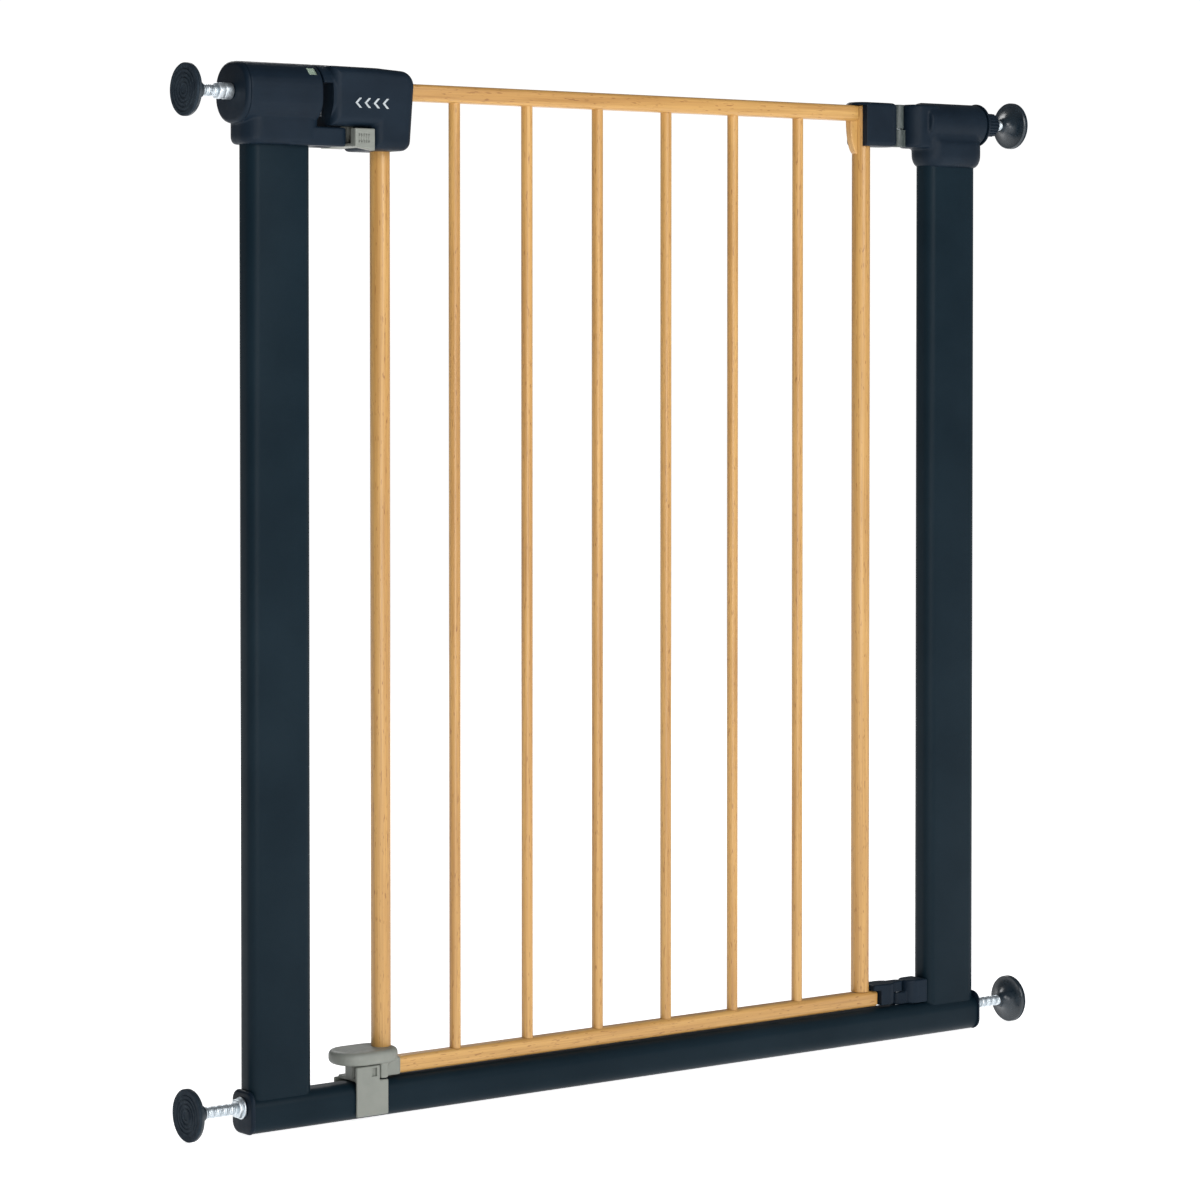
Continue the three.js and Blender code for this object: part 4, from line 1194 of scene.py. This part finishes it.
# %% Spindles, pads and nuts at the four corners
NECK, RUBBER, RIM = 5.2, 1.6, 4.2
for corner in ("top_left", "bottom_left", "top_right", "bottom_right"):
    sign = -1 if corner.endswith("left") else 1
    screw, pad = gate[f"{corner}_spindle"], gate[f"{corner}_pad"]
    face = gate[f"{corner}_pad_face"]
    z = screw.zm
    core_r = screw.h / 2 - RIDGE
    rod_piece = grow(
        f"{corner}_threaded_rod", thread_tree, zinc, turns=(screw.w - 3) / THREAD_PITCH,
        length=(screw.w - 3) * MM, core=core_r * MM, ridge=RIDGE * MM,
        start=Vector((screw.x0 + 1.5, 0, z)) * MM,
    )
    finish_piece(rod_piece, f"{corner}_spindle")
    wall = face.x0 if sign < 0 else face.x1
    radius = pad.h / 2

    def at(depth):
        """A place along the spindle's axis, counted from the wall."""
        return wall - sign * depth

    horn = [(0, RUBBER), (radius - 0.6, RUBBER), (radius, 2.2), (radius, 3.4), (radius - 0.5, RIM)]
    for i in range(1, 15):
        turn = math.pi / 2 * i / 14
        flare = (radius - 0.5 - NECK) * (1 - math.sin(turn))
        horn.append((NECK + flare, RIM + (pad.w - 3.6) * (1 - math.cos(turn))))
    horn += [(NECK, pad.w + 1.4), (NECK - 0.5, pad.w + 1.8), (0, pad.w + 1.8)]
    shape = turned("X", [(r, at(d)) for r, d in horn], 0, z)
    make_piece(f"{corner}_pad_horn", shape, polished, f"{corner}_pad")
    tread = [(0, 0.5)]
    for ring_r in range(3, int(radius) - 2, 3):
        tread += [(ring_r, 0.5), (ring_r + 0.4, 0.0), (ring_r + 1.6, 0.0), (ring_r + 2.0, 0.5)]
    tread += [(radius - 1.6, 0.0), (radius - 0.5, 0.1), (radius, 0.7)]
    tread += [(radius, RUBBER), (0, RUBBER)]
    shape = turned("X", [(r, at(d)) for r, d in tread], 0, z)
    make_piece(f"{corner}_pad_rubber", shape, rubber, f"{corner}_pad_face")

# %% [markdown]
# The nuts differ. The upper latch corner has a sleeve nut, a smooth tube with a hexagon at its
# end; the lower corners have flange nuts, a hexagon on a thin disc; and the upper hinge corner
# has a plastic knob with grip ribs, which Geometry Nodes set round its rim.

# %% Tree for the knob's ribs
tree, given = node_tree(
    "ribs_round_a_rim",
    [("Count", INT, 24), ("Rim", FLOAT, 0.012), ("Rib", FLOAT, 0.0008), ("Length", FLOAT, 0.008),
     ("Centre", VECTOR, (0, 0, 0))],
)
rim = add_node(tree, "MeshCircle")
rib = add_node(tree, "MeshCylinder", Vertices=16)
round_rim = add_node(tree, "InstanceOnPoints")
stand = add_node(tree, "Transform", Rotation=(0, math.pi / 2, 0))
wire(
    tree,
    (given["Count"], rim.inputs["Vertices"]),
    (given["Rim"], rim.inputs["Radius"]),
    (given["Rib"], rib.inputs["Radius"]),
    (given["Length"], rib.inputs["Depth"]),
    (rim.outputs["Mesh"], round_rim.inputs["Points"]),
    (rib.outputs["Mesh"], round_rim.inputs["Instance"]),
    (round_rim.outputs["Instances"], stand.inputs["Geometry"]),
    (given["Centre"], stand.inputs["Translation"]),
)
end_tree(tree, stand.outputs["Geometry"], charcoal)


# %% Nuts
def hexagon(radius, z):
    """An outline function for a hexagon with eased corners."""
    return lambda inset: [
        ((radius - inset) * math.cos(t), z + (radius - inset) * math.sin(t))
        for t in (math.radians(60 * i + d) for i in range(6) for d in (-4, 0, 4))
    ]


for corner in ("top_left", "bottom_left", "top_right", "bottom_right"):
    nut = gate[f"{corner}_nut"]
    finish = FINISH_OF_SLOT[SLOT_OF[f"{corner}_nut"]]
    nut_r, z = nut.h / 2, nut.zm
    inner, outer = (nut.x1, nut.x0) if corner.endswith("left") else (nut.x0, nut.x1)
    step = math.copysign(1, outer - inner)

    def drawn(outline, start, stop, edge=0.5):
        """An outline drawn out between two depths counted from the housing."""
        low, high = sorted((inner + step * start, inner + step * stop))
        return rounded_prism("X", outline, low, high, edge, edge)

    length = nut.w
    if corner == "top_right":
        shapes = [drawn(round_outline(nut_r - 0.8, 0, z), 0, length, 1.2)]
    elif corner == "top_left":
        shapes = [
            drawn(round_outline(nut_r - 0.4, 0, z), 0, length - 5, 0.6),
            drawn(hexagon(nut_r, z), length - 5.5, length, 0.8),
        ]
    else:
        shapes = [
            drawn(round_outline(nut_r, 0, z), 0, 1.8, 0.6),
            drawn(hexagon(nut_r * 0.9, z), 1.2, length, 0.9),
        ]
    body = to_object(f"{corner}_nut_body", join_shapes(*shapes), finish)
    if corner == "top_right":
        ribs = grow(
            "knob_ribs", tree, charcoal, count=22, rim=(nut_r - 0.8) * MM, rib=0.8 * MM,
            length=(length - 2) * MM, centre=Vector((nut.xm, 0, z)) * MM,
        )
        with bpy.context.temp_override(active_object=body, selected_editable_objects=[body, ribs]):
            bpy.ops.object.join()
    finish_piece(body, f"{corner}_nut")

# %% [markdown]
# ## Finishes on the nodes that stay
# Pins, screws, springs and bolts keep the model's own meshes and only get their finish.

# %% Dress the remaining nodes
for name, node in frame["nodes"].items():
    finish = FINISH_OF_SLOT[SLOT_OF[name]]
    node.data.materials.clear()
    node.data.materials.append(finish)

# %% [markdown]
# ## Camera, floor and light
# The camera stands well round to the left, three quarters of the way up the gate, and looks
# slightly down through a long lens. The floor is a pale plane that glows, and four soft lights
# model the tubes without hard shadows.

# %% Camera
YAW, TILT = math.radians(37.5), math.radians(1.35)
camera_data = bpy.data.cameras.new("camera")
camera_data.lens = 116.0
camera_data.sensor_width = 36.0
camera_data.shift_y = -0.1453
camera = add_object("camera", camera_data)
camera.location = (-1.7405, -2.230, 0.545)
camera.rotation_euler = (math.pi / 2 - TILT, 0, -YAW)
bpy.context.scene.camera = camera

# %% Floor
FLOOR_GLOW = 0.88
floor_mat, shader = start_finish("pale_floor", 0.7)
shader.inputs["Base Color"].default_value = (0.85, 0.85, 0.86, 1)
shader.inputs["Emission Color"].default_value = (1, 1, 1, 1)
shader.inputs["Emission Strength"].default_value = FLOOR_GLOW
bpy.ops.mesh.primitive_plane_add(size=400, location=(0, 0, -0.0005))
floor = bpy.context.object
floor.name = "studio_floor"
floor.data.materials.append(floor_mat)

# %% Lights
world = bpy.context.scene.world or bpy.data.worlds.new("studio")
bpy.context.scene.world = world
world.use_nodes = True
room, wires = world.node_tree.nodes, world.node_tree.links
sky = room["Background"]
sky.inputs["Color"].default_value = (0.93, 0.96, 1.0, 1)
sky.inputs["Strength"].default_value = 0.17
paper = room.new("ShaderNodeBackground")
paper.inputs["Color"].default_value = (1, 1, 1, 1)
paper.inputs["Strength"].default_value = 1.05
ray, choose = room.new("ShaderNodeLightPath"), room.new("ShaderNodeMixShader")
wires.new(ray.outputs["Is Camera Ray"], choose.inputs["Fac"])
wires.new(sky.outputs["Background"], choose.inputs[1])
wires.new(paper.outputs["Background"], choose.inputs[2])
wires.new(choose.outputs["Shader"], room["World Output"].inputs["Surface"])


def soft_light(name, spot, size, power):
    """A square area light aimed at the gate's middle."""
    data = bpy.data.lights.new(name, "AREA")
    data.size, data.energy = size, power
    lamp = add_object(name, data)
    lamp.location = spot
    aim = Vector((0, 0, 0.36)) - Vector(spot)
    lamp.rotation_euler = aim.to_track_quat("-Z", "Y").to_euler()


soft_light("key", (0.1, -3.0, 1.8), 1.8, 56)
soft_light("low_fill", (-0.9, -1.9, 0.2), 0.9, 13)
soft_light("side_fill", (2.8, -1.4, 1.4), 2.0, 4)
soft_light("rim", (0.6, 2.6, 2.0), 1.6, 30)
bpy.context.scene.view_settings.view_transform = "Standard"
